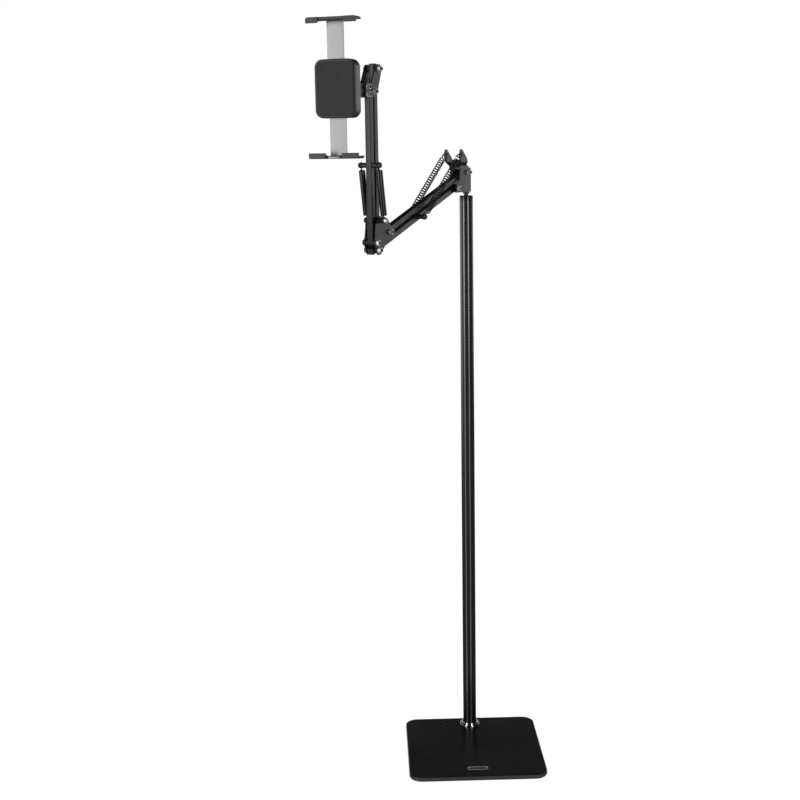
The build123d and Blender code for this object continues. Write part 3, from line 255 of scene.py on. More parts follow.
# Badge: a bare oval inlay near the front edge, a bright rim round a dark satin face. It is
# die cast, pressed into its recess in the plate, and stands 0.4 mm proud.
BADGE_END = 5.5
BADGE_REACH = 12.5
BADGE_Y = -89.0
BADGE_FOOT = 7.2
BADGE_SIDE = 1.05
BADGE_STEPS = ((0.2, 0.15), (0.75, 0.0), (0.2, -0.3))
ROUND_STEPS = 64
MERGED = 0.002 * MM
SHARP = 36.0


def piece(name, shape, materials, *stands_for, body, slot, smooth=SHARP):
    """A finished piece from a shape: doubles merged, faces outwards, on its body for its CAD nodes."""
    bmesh.ops.remove_doubles(shape, verts=shape.verts, dist=MERGED)
    bmesh.ops.recalc_face_normals(shape, faces=shape.faces)
    mesh = bpy.data.meshes.new(name)
    shape.to_mesh(mesh)
    shape.free()
    for material in materials:
        mesh.materials.append(material)
    mesh.shade_smooth()
    mesh.set_sharp_from_angle(angle=math.radians(smooth))
    made = bpy.data.objects.new(name, mesh)
    bpy.context.scene.collection.objects.link(made)
    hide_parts(*stands_for)
    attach(made, body)
    return made


rim_metal = finish(
    "rim_metal", (0.5, 0.5, 0.51), (0.62, 0.62, 0.63), roughness=0.26, spread=0.05,
    drift=40.0, grain=2500.0, relief=4.0, metal=0.6, stretch=(0.2, 1.0, 1.0),
)
face_dark = finish(
    "face_dark", (0.012, 0.012, 0.013), (0.022, 0.022, 0.023), roughness=0.35, spread=0.05,
    drift=70.0, grain=2600.0, relief=4.0,
)
shape = bmesh.new()
half_step = Matrix.Rotation(math.pi / ROUND_STEPS, 4, "Z")
bmesh.ops.create_circle(shape, cap_ends=True, segments=ROUND_STEPS, radius=BADGE_END * MM, matrix=half_step)
for vert in shape.verts:
    vert.co.x += math.copysign(BADGE_REACH * MM, vert.co.x)
bmesh.ops.translate(shape, verts=shape.verts, vec=(0.0, BADGE_Y * MM, BADGE_FOOT * MM))
raised = bmesh.ops.extrude_face_region(shape, geom=shape.faces[:])["geom"]
raised_verts = [part for part in raised if isinstance(part, bmesh.types.BMVert)]
bmesh.ops.translate(shape, verts=raised_verts, vec=(0.0, 0.0, BADGE_SIDE * MM))
top = [part for part in raised if isinstance(part, bmesh.types.BMFace)]
for thickness, depth in BADGE_STEPS:
    bmesh.ops.inset_region(
        shape, faces=top, thickness=thickness * MM, depth=depth * MM, use_even_offset=True
    )
for face in top:
    face.material_index = 1
piece("badge_inlay", shape, [rim_metal, face_dark], "badge", body="stand", slot="badge_metal")

# Foot collar: a turned brass trim ring, chromed, that slips down the pole and hides its seat:
# a low rounded flange and a rounded step above it.
PLATE_TOP = 8.0
POLE_Y = 97.0
POLE_RADIUS = 12.0
COLLAR_BORE = POLE_RADIUS + 0.15
COLLAR_TOP = PLATE_TOP + 5.6
FLANGE_RADIUS = 18.0
FLANGE_TOP = PLATE_TOP + 2.4
FLANGE_ROUND = 1.2
STEP_RADIUS = 14.5
STEP_ROUND = 1.6
STEP_FOOT = 0.4
POLE = Matrix.Translation((0.0, POLE_Y * MM, 0.0))


def turn(shape, profile, place, ring=False, steps=64, material=0):
    """Adds a profile of (radius, height) in millimetres, turned about the local z axis.

    A ring's profile is closed.
    """
    known = set(shape.verts)
    corners = [shape.verts.new((radius * MM, 0.0, height * MM)) for radius, height in profile]
    runs = [shape.edges.new(pair) for pair in zip(corners, corners[1:] + (corners[:1] if ring else []))]
    bmesh.ops.spin(
        shape, geom=corners + runs, cent=(0.0, 0.0, 0.0), axis=(0.0, 0.0, 1.0),
        angle=2 * math.pi, steps=steps, use_merge=True,
    )
    added = [vert for vert in shape.verts if vert not in known]
    bmesh.ops.transform(shape, matrix=place, verts=added)
    for face in {face for vert in added for face in vert.link_faces}:
        face.material_index = material


def quarter(radius, top, size, count=5):
    """Points of a quarter round of a size, from the outer side up to the top."""
    right, up = radius - size, top - size
    angles = [math.radians(90 * number / count) for number in range(count + 1)]
    return [(right + size * math.cos(angle), up + size * math.sin(angle)) for angle in angles]


chrome = finish(
    "chrome", (0.68, 0.68, 0.7), (0.76, 0.76, 0.78), roughness=0.1, spread=0.03,
    drift=50.0, grain=900.0, relief=0.5, metal=1.0,
)
profile = [(COLLAR_BORE, COLLAR_TOP), (COLLAR_BORE, PLATE_TOP), (FLANGE_RADIUS, PLATE_TOP)]
profile += quarter(FLANGE_RADIUS, FLANGE_TOP, FLANGE_ROUND)
profile += [(STEP_RADIUS + STEP_FOOT, FLANGE_TOP), (STEP_RADIUS, FLANGE_TOP + STEP_FOOT)]
profile += quarter(STEP_RADIUS, COLLAR_TOP, STEP_ROUND)
shape = bmesh.new()
turn(shape, profile, POLE, ring=True, steps=96)
piece("foot_collar_ring", shape, [chrome], "foot_collar", body="stand", slot="chrome")

# Pole screw, foot nut and joiner: a countersunk zinc-plated screw from under the plate, the
# threaded steel plug in the pole's foot that it draws down, and the steel sleeve inside the
# pole's joint. All are out of sight.
zinc = finish(
    "zinc", (0.5, 0.5, 0.52), (0.66, 0.66, 0.67), roughness=0.38, spread=0.07,
    drift=220.0, grain=1800.0, relief=2.0, metal=0.7,
)
cover("pole_screw", zinc)
cover("pole_foot_nut", zinc)
cover("pole_joiner", zinc)

# Pole: two lengths of drawn steel tube, 24 mm across, lacquered gloss black. Only a fine line
# shows where their broken edges meet.
POLE_BORE = POLE_RADIUS - 1.2
POLE_JOINT = PLATE_TOP + 817.0
POLE_TOP = POLE_JOINT + 158.0
POLE_EDGE = 0.25
POLE_LENGTHS = (
    ("pole_low", "lower_pole", PLATE_TOP, POLE_JOINT),
    ("pole_high", "upper_pole", POLE_JOINT, POLE_TOP),
)


def ring_wall(bore, radius, low, high, broken):
    """The closed profile of a ring or tube, with its outer edges broken."""
    foot = [(bore, low), (radius - broken, low), (radius, low + broken)]
    return foot + [(radius, high - broken), (radius - broken, high), (bore, high)]


gloss_black = finish(
    "gloss_black", (0.0035, 0.0035, 0.004), (0.006, 0.006, 0.0065), roughness=0.2, spread=0.01,
    drift=8.0, grain=30.0, relief=0.1, ior=1.75, stretch=(1.0, 1.0, 0.06),
)
for name, stands_for, low, high in POLE_LENGTHS:
    shape = bmesh.new()
    turn(shape, ring_wall(POLE_BORE, POLE_RADIUS, low, high, POLE_EDGE), POLE, ring=True, steps=96)
    piece(name, shape, [gloss_black], stands_for, body="stand", slot="pole_paint")

# Pole cap: a moulded plug pressed into the pole's top, with a rounded shoulder and a bore
# for the swivel pin.
CAP_TOP = POLE_TOP + 8.0
CAP_SHOULDER = 2.4
PLUG_FOOT = POLE_TOP - 32.0
PLUG_RADIUS = POLE_BORE - 0.05
PLUG_LEAD = (0.35, 0.4)
SWIVEL_RADIUS = 4.0
SWIVEL_BORE = SWIVEL_RADIUS + 0.05
SWIVEL_FOOT = CAP_TOP - 34.0
gloss_plastic = finish(
    "gloss_plastic", (0.006, 0.006, 0.0065), (0.01, 0.01, 0.0105), roughness=0.2, spread=0.03,
    drift=120.0, grain=900.0, relief=3.0,
)
profile = [(0.0, PLUG_FOOT), (PLUG_RADIUS - PLUG_LEAD[0], PLUG_FOOT)]
profile += [(PLUG_RADIUS, PLUG_FOOT + PLUG_LEAD[1]), (PLUG_RADIUS, POLE_TOP), (POLE_RADIUS, POLE_TOP)]
profile += quarter(POLE_RADIUS, CAP_TOP, CAP_SHOULDER)
profile += [(SWIVEL_BORE, CAP_TOP), (SWIVEL_BORE, SWIVEL_FOOT), (0.0, SWIVEL_FOOT)]
shape = bmesh.new()
turn(shape, profile, POLE, steps=96)
piece("pole_cap_plug", shape, [gloss_plastic], "pole_cap", body="stand", slot="pole_paint")

# Swivel pin: a turned steel pin that the whole arm turns on. Its collar carries the bracket,
# and its upper end is riveted over the bracket's floor.
SHEET = 2.0
BRACKET_FOOT = CAP_TOP + 6.5
PIN_COLLAR = 6.0
PIN_COLLAR_FOOT = BRACKET_FOOT - 3.0
RIVET_FOOT = BRACKET_FOOT + SHEET
RIVET_TOP = RIVET_FOOT + 2.0
RIVET_ROUND = 1.2
BROKEN = 0.3
PIN_LEAD = 0.4
black_steel = finish(
    "black_steel", (0.008, 0.008, 0.0085), (0.02, 0.02, 0.021), roughness=0.3, spread=0.06,
    drift=200.0, grain=1500.0, relief=6.0,
)
profile = [(0.0, SWIVEL_FOOT), (SWIVEL_RADIUS - PIN_LEAD, SWIVEL_FOOT)]
profile += [(SWIVEL_RADIUS, SWIVEL_FOOT + PIN_LEAD), (SWIVEL_RADIUS, PIN_COLLAR_FOOT)]
profile += [(PIN_COLLAR - BROKEN, PIN_COLLAR_FOOT)]
profile += [(PIN_COLLAR, PIN_COLLAR_FOOT + BROKEN), (PIN_COLLAR, BRACKET_FOOT - BROKEN)]
profile += [(PIN_COLLAR - BROKEN, BRACKET_FOOT), (SWIVEL_RADIUS, BRACKET_FOOT)]
profile += [(SWIVEL_RADIUS, RIVET_FOOT), (PIN_COLLAR, RIVET_FOOT)]
profile += [*quarter(PIN_COLLAR, RIVET_TOP, RIVET_ROUND), (0.0, RIVET_TOP)]
shape = bmesh.new()
turn(shape, profile, POLE)
piece("swivel_pin_turned", shape, [black_steel], "swivel_pin", body="arm_base", slot="black_steel")

# Arm bracket: one pressed sheet with two cheeks, two ears that step out to the springs and a
# folded web. It is 2 mm steel, deburred and powder coated satin black.
FLAT = math.radians(0.6)


def eased(name, solid, finished, width, body, slot, segments=2, clamped=False, shaping=None):
    """A copy of a CAD solid with its sharp edges rounded, in place of that solid.

    Shaping works on the copy first.
    """
    shape = bmesh.new()
    shape.from_mesh(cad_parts[solid].data)
    bmesh.ops.remove_doubles(shape, verts=shape.verts, dist=MERGED)
    bmesh.ops.dissolve_limit(shape, angle_limit=FLAT, verts=shape.verts, edges=shape.edges)
    if shaping:
        shaping(shape)
    for face in shape.faces:
        face.material_index = 0
    made = piece(name, shape, [finished], solid, body=body, slot=slot)
    rounding = made.modifiers.new("rounding", "BEVEL")
    rounding.width = width * MM
    rounding.segments = segments
    rounding.limit_method = "ANGLE"
    rounding.angle_limit = math.radians(SHARP)
    rounding.use_clamp_overlap = clamped
    rounding.harden_normals = True


satin_black = finish(
    "satin_black", (0.0045, 0.0045, 0.005), (0.009, 0.009, 0.0095), roughness=0.36, spread=0.05,
    drift=45.0, grain=1700.0, relief=7.0,
)
eased("arm_bracket_sheet", "arm_bracket", satin_black, 0.3, "arm_base", "black_paint", clamped=True)

# Bracket fasteners: black M5 bolts with chamfered heads, zinc-plated nuts and washers, and
# nylon spacers between the sheets and the tubes. The arm's tubes turn on the bolts.
ARM_TURN = math.radians(57.0)
FORWARD = Vector((-math.cos(ARM_TURN), -math.sin(ARM_TURN), 0.0))
UP = Vector((0.0, 0.0, 1.0))
ACROSS = FORWARD.cross(UP)
TUBE_SIDE = 5.0
SHEET_INSIDE = 8.5
SHEET_OUTSIDE = SHEET_INSIDE + SHEET
WASHER_OUTSIDE = SHEET_OUTSIDE + 1.0
NUT_OUTSIDE = WASHER_OUTSIDE + 4.0
HEAD_OUTSIDE = WASHER_OUTSIDE + 3.5
BOLT_TIP = NUT_OUTSIDE + 2.0
BOLT_RADIUS = 2.5
BOLT_HOLE = BOLT_RADIUS + 0.05
BOLT_LEAD = 0.5
ACROSS_FLATS = 8.0
WASHER_RADIUS = 5.0
SPACER_RADIUS = 4.5
WASHER_EDGE = 0.2
FACE_SHARE = 0.475
CORNER_SLOPE = 0.577
FILLED_BORE = 0.02
THREAD_LENGTH = 2.6
THREAD_DEPTH = 0.28
HALF_PITCH = 0.4


def step(point, angle, length):
    """The point at a length from another, at an angle in degrees above forward, in the arm's plane."""
    rise = math.radians(angle)
    return (point[0] + length * math.cos(rise), point[1] + length * math.sin(rise))


def in_arm(forward, up, over=0.0, axis=ACROSS):
    """A place in the arm's plane, in millimetres forward of the pole and above the floor.

    Its z axis is the one given.
    """
    spot = Vector((0.0, POLE_Y, 0.0)) + forward * FORWARD + up * UP + over * ACROSS
    first = (UP if abs(axis.dot(UP)) < 0.9 else FORWARD).cross(axis).normalized()
    return Matrix.Translation(spot * MM) @ Matrix((first, axis.cross(first), axis)).transposed().to_4x4()


def hexagon(shape, low, high, place, bore=0.0, flat_foot=False):
    """Adds a hexagon of the nuts' size, with the corners of its faces turned off at 30 degrees."""
    known = set(shape.verts)
    face_radius = FACE_SHARE * ACROSS_FLATS
    ring = bmesh.ops.create_circle(shape, segments=48, radius=1.0)["verts"]
    runs = list({run for vert in ring for run in vert.link_edges})
    first_runs = runs
    foot = 0 if flat_foot else 1
    loops = (("bore", low, 0), ("face", low, 0), ("edge", low, foot))
    loops += (("edge", high, -1), ("face", high, 0), ("bore", high, 0))
    for number, (kind, height, way) in enumerate(loops):
        if number:
            spread = bmesh.ops.extrude_edge_only(shape, edges=runs)["geom"]
            ring = [part for part in spread if isinstance(part, bmesh.types.BMVert)]
            edges = [part for part in spread if isinstance(part, bmesh.types.BMEdge)]
            runs = [edge for edge in edges if all(vert in ring for vert in edge.verts)]
        for vert in ring:
            angle = math.atan2(vert.co.y, vert.co.x)
            corner = ACROSS_FLATS / 2 / math.cos((angle + math.pi / 6) % (math.pi / 3) - math.pi / 6)
            radius = {"bore": max(bore, FILLED_BORE), "face": face_radius, "edge": corner}[kind]
            drop = way * (corner - face_radius) * CORNER_SLOPE if kind == "edge" else 0.0
            vert.co = Vector((math.cos(angle) * radius, math.sin(angle) * radius, height + drop)) * MM
    if bore:
        bmesh.ops.bridge_loops(shape, edges=first_runs + runs)
    else:
        bmesh.ops.holes_fill(shape, edges=first_runs + runs)
    added = [vert for vert in shape.verts if vert not in known]
    bmesh.ops.transform(shape, matrix=place, verts=added)


def bolts(name, solid, pivots, body):
    """Black bolts through the pivots, head on the far side and thread on the near side."""
    profile = [(0.0, -BOLT_TIP), (BOLT_RADIUS - BOLT_LEAD, -BOLT_TIP)]
    for count in range(int(THREAD_LENGTH / HALF_PITCH)):
        profile.append((BOLT_RADIUS - THREAD_DEPTH * (count % 2), HALF_PITCH * (count + 1) - BOLT_TIP))
    profile += [(BOLT_RADIUS, THREAD_LENGTH - BOLT_TIP), (BOLT_RADIUS, WASHER_OUTSIDE)]
    profile += [(0.0, WASHER_OUTSIDE)]
    shape = bmesh.new()
    for pivot in pivots:
        turn(shape, profile, in_arm(*pivot), steps=32)
        hexagon(shape, WASHER_OUTSIDE, HEAD_OUTSIDE, in_arm(*pivot), flat_foot=True)
    piece(name, shape, [black_steel], solid, body=body, slot="black_steel")


def nuts(name, solid, pivots, body):
    """Zinc-plated nuts on the near side of the pivots."""
    shape = bmesh.new()
    for pivot in pivots:
        hexagon(shape, -NUT_OUTSIDE, -WASHER_OUTSIDE, in_arm(*pivot), bore=BOLT_RADIUS)
    piece(name, shape, [zinc], solid, body=body, slot="zinc")


def washers(name, solid, bolted, spaced, body):
    """Zinc-plated washers outside the sheets, and nylon spacers inside them."""
    washer = ring_wall(BOLT_HOLE, WASHER_RADIUS, SHEET_OUTSIDE, WASHER_OUTSIDE, WASHER_EDGE)
    spacer = ring_wall(BOLT_HOLE, SPACER_RADIUS, TUBE_SIDE, SHEET_INSIDE, WASHER_EDGE)
    shape = bmesh.new()
    for side in (-1, 1):
        for number, (ring, pivots) in enumerate(((washer, bolted), (spacer, spaced))):
            for pivot in pivots:
                profile = [(radius, side * height) for radius, height in ring]
                turn(shape, profile, in_arm(*pivot), ring=True, steps=48, material=number)
    piece(name, shape, [zinc, nylon], solid, body=body, slot="zinc")


BRACKET_UPPER = (11.8, BRACKET_FOOT + 33.6)
BRACKET_LOWER = step(BRACKET_UPPER, -37.3, 43.7)
bracket_bolted = (BRACKET_UPPER, BRACKET_LOWER)
bolts("bracket_bolt_pair", "bracket_bolts", bracket_bolted, "arm_base")
nuts("bracket_nut_pair", "bracket_nuts", bracket_bolted, "arm_base")
nylon = finish(
    "nylon", (0.012, 0.012, 0.0125), (0.02, 0.02, 0.021), roughness=0.45, spread=0.05,
    drift=150.0, grain=1200.0, relief=4.0,
)
washers("bracket_washer_set", "bracket_washers", bracket_bolted, bracket_bolted, "arm_base")

# Lower arm: two square steel tubes side by side, 10 mm across with rounded corners, satin
# black, each with a moulded plug pressed into both ends.
moulded = finish(
    "moulded_black", (0.009, 0.009, 0.0095), (0.015, 0.015, 0.0155), roughness=0.42, spread=0.06,
    drift=90.0, grain=1500.0, relief=10.0,
)
eased("lower_tube_drawn", "lower_tube", satin_black, 0.2, "lower_link", "black_paint")
eased("lower_tube_caps", "lower_tube_plugs", moulded, 0.3, "lower_link", "plastic")
eased("upper_tube_drawn", "upper_tube", satin_black, 0.2, "upper_link", "black_paint")
eased("upper_tube_caps", "upper_tube_plugs", moulded, 0.3, "upper_link", "plastic")

# Lower spring pin: a turned steel pin through the lower tube. The springs' hooks lie in a
# groove at each end, inside a rounded button.
LOWER_SLOPE = -18.63
LOWER_PIN = step(BRACKET_LOWER, LOWER_SLOPE, 130.0)
SPRING_SIDE = 14.8
PIN_RADIUS = 4.0
GROOVE_RADIUS = 3.0
GROOVE_HALF = 1.5
BUTTON_RADIUS = 4.3
BUTTON_ROUND = 2.6
BUTTON_LENGTH = 3.4
STUD_LENGTH = 4.1
PIN_EDGE = 0.2


def pin_side(start, core, groove, side, button=True):
    """The profile of one side of a cross pin, out to its rounded button or its threaded stud."""
    near, far = groove - GROOVE_HALF, groove + GROOVE_HALF
    points = [(0.0, 0.0), (core, 0.0), (core, start), (PIN_RADIUS - PIN_EDGE, start)]
    points += [(PIN_RADIUS, start + PIN_EDGE), (PIN_RADIUS, near - PIN_EDGE), (PIN_RADIUS - PIN_EDGE, near)]
    points += [(GROOVE_RADIUS, near), (GROOVE_RADIUS, far)]
    if button:
        points += [(BUTTON_RADIUS - PIN_EDGE, far), (BUTTON_RADIUS, far + PIN_EDGE)]
        points += [*quarter(BUTTON_RADIUS, far + BUTTON_LENGTH, BUTTON_ROUND, 8), (0.0, far + BUTTON_LENGTH)]
    else:
        points += [(core, far), (core, far + STUD_LENGTH - PIN_EDGE)]
        points += [(core - PIN_EDGE, far + STUD_LENGTH), (0.0, far + STUD_LENGTH)]
    return [(radius, side * height) for radius, height in points]


shape = bmesh.new()
for side in (-1, 1):
    turn(shape, pin_side(TUBE_SIDE, GROOVE_RADIUS, SPRING_SIDE, side), in_arm(*LOWER_PIN), steps=48)
piece("lower_cross_pin", shape, [black_steel], "lower_spring_pin", body="lower_link", slot="black_steel")

# Bare springs: open coils of 2 mm black oiled spring steel wire, one on each side of the arm.
# One end hooks through the bracket's ear, the other lies round the cross pin's groove.
EAR = (BRACKET_LOWER[0] - 2.3, BRACKET_LOWER[1] + 58.8)
EAR_HOOK_AT = 5.2
EAR_HOOK_RADIUS = 4.45
EAR_HOOK_ANGLES = range(-150, 76, 15)
EAR_BEND = ((6.9, 0.2, 4.95), (10.3, 1.9, 4.75), (12.9, 4.0, 3.0))
PIN_BEND = ((-13.2, -4.4, 2.2), (-11.9, -3.2, 4.0), (-9.4, 0.3, 3.3), (-6.4, 3.7, 0.9), (-3.2, 4.5, 0.05))
PIN_HOOK_AT = -0.1
PIN_HOOK_RADIUS = 4.49
PIN_HOOK_ANGLES = range(0, 241, 20)
WIRE_RADIUS = 1.0
COIL_RADIUS = 4.515
COIL_TURNS = 23.5
COIL_ENDS = 14.0
COIL_START = 0.25
TURN_STEPS = 16
SPRINGS = (("near_coil_spring", "near_spring", -1), ("far_coil_spring", "far_spring", 1))


def spring_route(run):
    """The wire's route from the ear to the pin: how far each point is along the spring, aside and over."""
    route = []
    for angle in EAR_HOOK_ANGLES:
        turned = math.radians(angle)
        along, over = EAR_HOOK_RADIUS * math.cos(turned), EAR_HOOK_RADIUS * math.sin(turned)
        route.append((EAR_HOOK_AT - along, 0.0, over))
    route += EAR_BEND
    advance = (run - 2 * COIL_ENDS) / COIL_TURNS
    for count in range(int(COIL_TURNS * TURN_STEPS) + 1):
        turns = count / TURN_STEPS
        turned = 2 * math.pi * (turns + COIL_START)
        aside, over = COIL_RADIUS * math.sin(turned), COIL_RADIUS * math.cos(turned)
        route.append((COIL_ENDS + advance * turns, aside, over))
    route += [(run + along, aside, over) for along, aside, over in PIN_BEND]
    for angle in PIN_HOOK_ANGLES:
        turned = math.radians(angle)
        along, aside = PIN_HOOK_RADIUS * math.sin(turned), PIN_HOOK_RADIUS * math.cos(turned)
        route.append((run + PIN_HOOK_AT + along, aside, 0.0))
    return route


spring_wire = finish(
    "spring_wire", (0.006, 0.006, 0.0065), (0.012, 0.012, 0.0125), roughness=0.42, spread=0.06,
    drift=350.0, grain=1600.0, relief=4.0,
)
run = (Vector(LOWER_PIN) - Vector(EAR)).length
spring_way = ((LOWER_PIN[0] - EAR[0]) * FORWARD + (LOWER_PIN[1] - EAR[1]) * UP) / run
for name, solid, side in SPRINGS:
    route = spring_route(run)
    line = bpy.data.curves.new(name, "CURVE")
    line.dimensions = "3D"
    line.bevel_depth = WIRE_RADIUS * MM
    line.bevel_resolution = 2
    line.use_fill_caps = True
    wire = line.splines.new("NURBS")
    wire.points.add(len(route) - 1)
    third = -side * ACROSS
    spot = in_arm(*EAR, side * SPRING_SIDE).translation
    for point, (along, aside, over) in zip(wire.points, route):
        way = along * spring_way + aside * third.cross(spring_way) + over * third
        point.co = (*(spot + way * MM), 1.0)
    wire.order_u = 4
    wire.use_endpoint_u = True
    wire.resolution_u = 2
    bent = bpy.data.objects.new(name, line)
    bpy.context.scene.collection.objects.link(bent)
    bpy.context.view_layer.update()
    shape = bmesh.new()
    shape.from_mesh(bpy.data.meshes.new_from_object(bent))
    bpy.data.objects.remove(bent)
    made = piece(name, shape, [spring_wire], solid, body="bare_springs", slot="black_steel", smooth=60.0)
    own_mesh(made)

# Elbow: two pressed sheets that hold both arms on four pivots, satin black like the bracket,
# with the same bolts, nuts, washers and spacers.
LOWER_LENGTH = 270.7
ELBOW_UPPER = step(BRACKET_UPPER, LOWER_SLOPE, LOWER_LENGTH)
ELBOW_LOWER = step(BRACKET_LOWER, LOWER_SLOPE, LOWER_LENGTH)
ELBOW_FRONT = (ELBOW_LOWER[0] + 4.4, ELBOW_LOWER[1] + 11.8)
ELBOW_REAR = step(ELBOW_FRONT, 111.1, 36.3)
elbow_bolted = (ELBOW_UPPER, ELBOW_LOWER, ELBOW_FRONT)
eased("elbow_sheets", "elbow_plates", satin_black, 0.3, "elbow", "black_paint")
bolts("elbow_bolt_set", "elbow_bolts", elbow_bolted, "elbow")
nuts("elbow_nut_set", "elbow_nuts", elbow_bolted, "elbow")
washers("elbow_washer_set", "elbow_washers", elbow_bolted, (*elbow_bolted, ELBOW_REAR), "elbow")

# Elbow cross pin: the rear upper pivot of the elbow, long enough for the sleeved springs'
# lower hooks. Its far end is a button, and its near end is threaded for a bright dome nut.
SLEEVE_SIDE = 16.0
DOME_NUT = SLEEVE_SIDE + GROOVE_HALF
DOME_FOOT = DOME_NUT + 2.7
DOME_RADIUS = 3.6
DOME_ROUND = 2.0
DOME_TOP = DOME_NUT + 5.6
STUD_ROOM = DOME_TOP - 1.3
DOME_OVERLAP = 0.1
elbow_pin = in_arm(*ELBOW_REAR)
shape = bmesh.new()
turn(shape, pin_side(SHEET_OUTSIDE, BOLT_RADIUS, SLEEVE_SIDE, 1), elbow_pin, steps=48)
turn(shape, pin_side(SHEET_OUTSIDE, BOLT_RADIUS, SLEEVE_SIDE, -1, button=False), elbow_pin, steps=48)
piece("elbow_cross_pin", shape, [black_steel], "elbow_spring_pin", body="elbow", slot="black_steel")
dome = [(0.0, STUD_ROOM), (BOLT_HOLE, STUD_ROOM), (BOLT_HOLE, DOME_FOOT), (DOME_RADIUS, DOME_FOOT)]
dome += [*quarter(DOME_RADIUS, DOME_TOP, DOME_ROUND, 8), (0.0, DOME_TOP)]
shape = bmesh.new()
hexagon(shape, -DOME_FOOT - DOME_OVERLAP, -DOME_NUT, elbow_pin, bore=BOLT_HOLE)
turn(shape, [(radius, -height) for radius, height in dome], elbow_pin, steps=48)
piece("elbow_dome_nut", shape, [zinc], "dome_nut", body="elbow", slot="zinc")

# Upper arm: a front and a rear square tube, as the lower arm's. The front tube's foot is
# rounded, and it carries the cross pin of the sleeved springs.
UPPER_PIN = step(ELBOW_FRONT, 90.0, 119.0)
eased("front_tube_drawn", "front_tube", satin_black, 0.2, "front_link", "black_paint")
eased("front_tube_caps", "front_tube_plugs", moulded, 0.15, "front_link", "plastic")
eased("rear_tube_drawn", "rear_tube", satin_black, 0.2, "rear_link", "black_paint")
eased("rear_tube_caps", "rear_tube_plugs", moulded, 0.3, "rear_link", "plastic")
shape = bmesh.new()
for side in (-1, 1):
    turn(shape, pin_side(TUBE_SIDE, GROOVE_RADIUS, SLEEVE_SIDE, side), in_arm(*UPPER_PIN), steps=48)
piece("upper_cross_pin", shape, [black_steel], "upper_spring_pin", body="front_link", slot="black_steel")

# Sleeved springs: close-wound springs in black plastic tubes, one on each side of the upper
# arm, with a wire ring at each end that hangs on a cross pin. The coils are set forward in
# the tubes, because they swing back out of the bores when the arm leans all the way.
SLEEVE_FOOT = 8.0
SLEEVE_TOP = 78.0
SLEEVE_LIP = [(4.2, 0.0), (4.9, 0.0), (5.1, 0.5), (5.2, 1.6)]
RING_RADIUS = 4.2
RING_WIRE = 0.9
STEM_RADIUS = 0.85
STEM_FOOT = SLEEVE_TOP - 1.0
SLEEVE_PLUG = [(3.9, 11.0), (4.1, 11.2), (4.1, 13.0)]
COIL_FOOT = 14.6
CORE_RADIUS = 1.9
CORE_WIRE = 0.6
CORE_TURNS = 54
CORE_STEPS = 12
CORE_FORWARD = 1.6
sleeve_gloss = finish(
    "sleeve_gloss", (0.004, 0.004, 0.0045), (0.007, 0.007, 0.0075), roughness=0.2, spread=0.04,
    drift=160.0, grain=900.0, relief=3.0, stretch=(1.0, 1.0, 0.3),
)
span = (Vector(UPPER_PIN) - Vector(ELBOW_REAR)).length
sleeve_way = ((UPPER_PIN[0] - ELBOW_REAR[0]) * FORWARD + (UPPER_PIN[1] - ELBOW_REAR[1]) * UP) / span
lean_side = (FORWARD - FORWARD.dot(sleeve_way) * sleeve_way).normalized()
twelfths = [math.radians(30 * part) for part in range(12)]
ring_wire = [(RING_RADIUS + RING_WIRE * math.cos(angle), RING_WIRE * math.sin(angle)) for angle in twelfths]
tube_wall = [(radius, SLEEVE_FOOT + height) for radius, height in SLEEVE_LIP]
tube_wall += [(radius, SLEEVE_TOP - height) for radius, height in reversed(SLEEVE_LIP)]
lower_stem = [(0.0, RING_RADIUS), (STEM_RADIUS, RING_RADIUS), (STEM_RADIUS, SLEEVE_PLUG[0][1])]
lower_stem += [*SLEEVE_PLUG, (0.0, SLEEVE_PLUG[-1][1])]
upper_stem = [(0.0, STEM_FOOT), (STEM_RADIUS, STEM_FOOT)]
upper_stem += [(STEM_RADIUS, span - RING_RADIUS), (0.0, span - RING_RADIUS)]
upright = Matrix.Rotation(math.pi / 2, 4, "X")
coil_start = Matrix.Translation((CORE_RADIUS * MM, 0.0, COIL_FOOT * MM)) @ upright
tubes, hooks, cores = bmesh.new(), bmesh.new(), bmesh.new()
for side in (-1, 1):
    foot = in_arm(*ELBOW_REAR, side * SLEEVE_SIDE, sleeve_way)
    turn(tubes, tube_wall, foot, ring=True, steps=64)
    turn(hooks, ring_wire, in_arm(*ELBOW_REAR, side * SLEEVE_SIDE), ring=True, steps=48)
    turn(hooks, lower_stem, foot, steps=32)
    turn(cores, ring_wire, in_arm(*UPPER_PIN, side * SLEEVE_SIDE), ring=True, steps=48)
    turn(cores, upper_stem, foot, steps=32)
    known = set(cores.verts)
    section = bmesh.ops.create_circle(cores, segments=8, radius=CORE_WIRE * MM, matrix=coil_start)["verts"]
    loop = list({edge for vert in section for edge in vert.link_edges})
    bmesh.ops.spin(
        cores, geom=section + loop, cent=(0.0, 0.0, 0.0), axis=(0.0, 0.0, 1.0),
        dvec=(0.0, 0.0, 2 * CORE_WIRE / CORE_STEPS * MM), angle=2 * math.pi * CORE_TURNS,
        steps=CORE_STEPS * CORE_TURNS,
    )
    bmesh.ops.holes_fill(cores, edges=[edge for edge in cores.edges if edge.is_boundary])
    hung = Matrix.Translation(CORE_FORWARD * MM * lean_side) @ foot
    bmesh.ops.transform(cores, matrix=hung, verts=[vert for vert in cores.verts if vert not in known])
piece("sleeve_tubes", tubes, [sleeve_gloss], "spring_sleeves", body="sleeves", slot="sleeve_plastic")
piece(
    "sleeve_lower_rings", hooks, [spring_wire], "sleeve_hooks",
    body="sleeves", slot="black_steel", smooth=50.0,
)
piece(
    "sleeve_upper_rings", cores, [spring_wire], "spring_cores",
    body="cores", slot="black_steel", smooth=60.0,
)

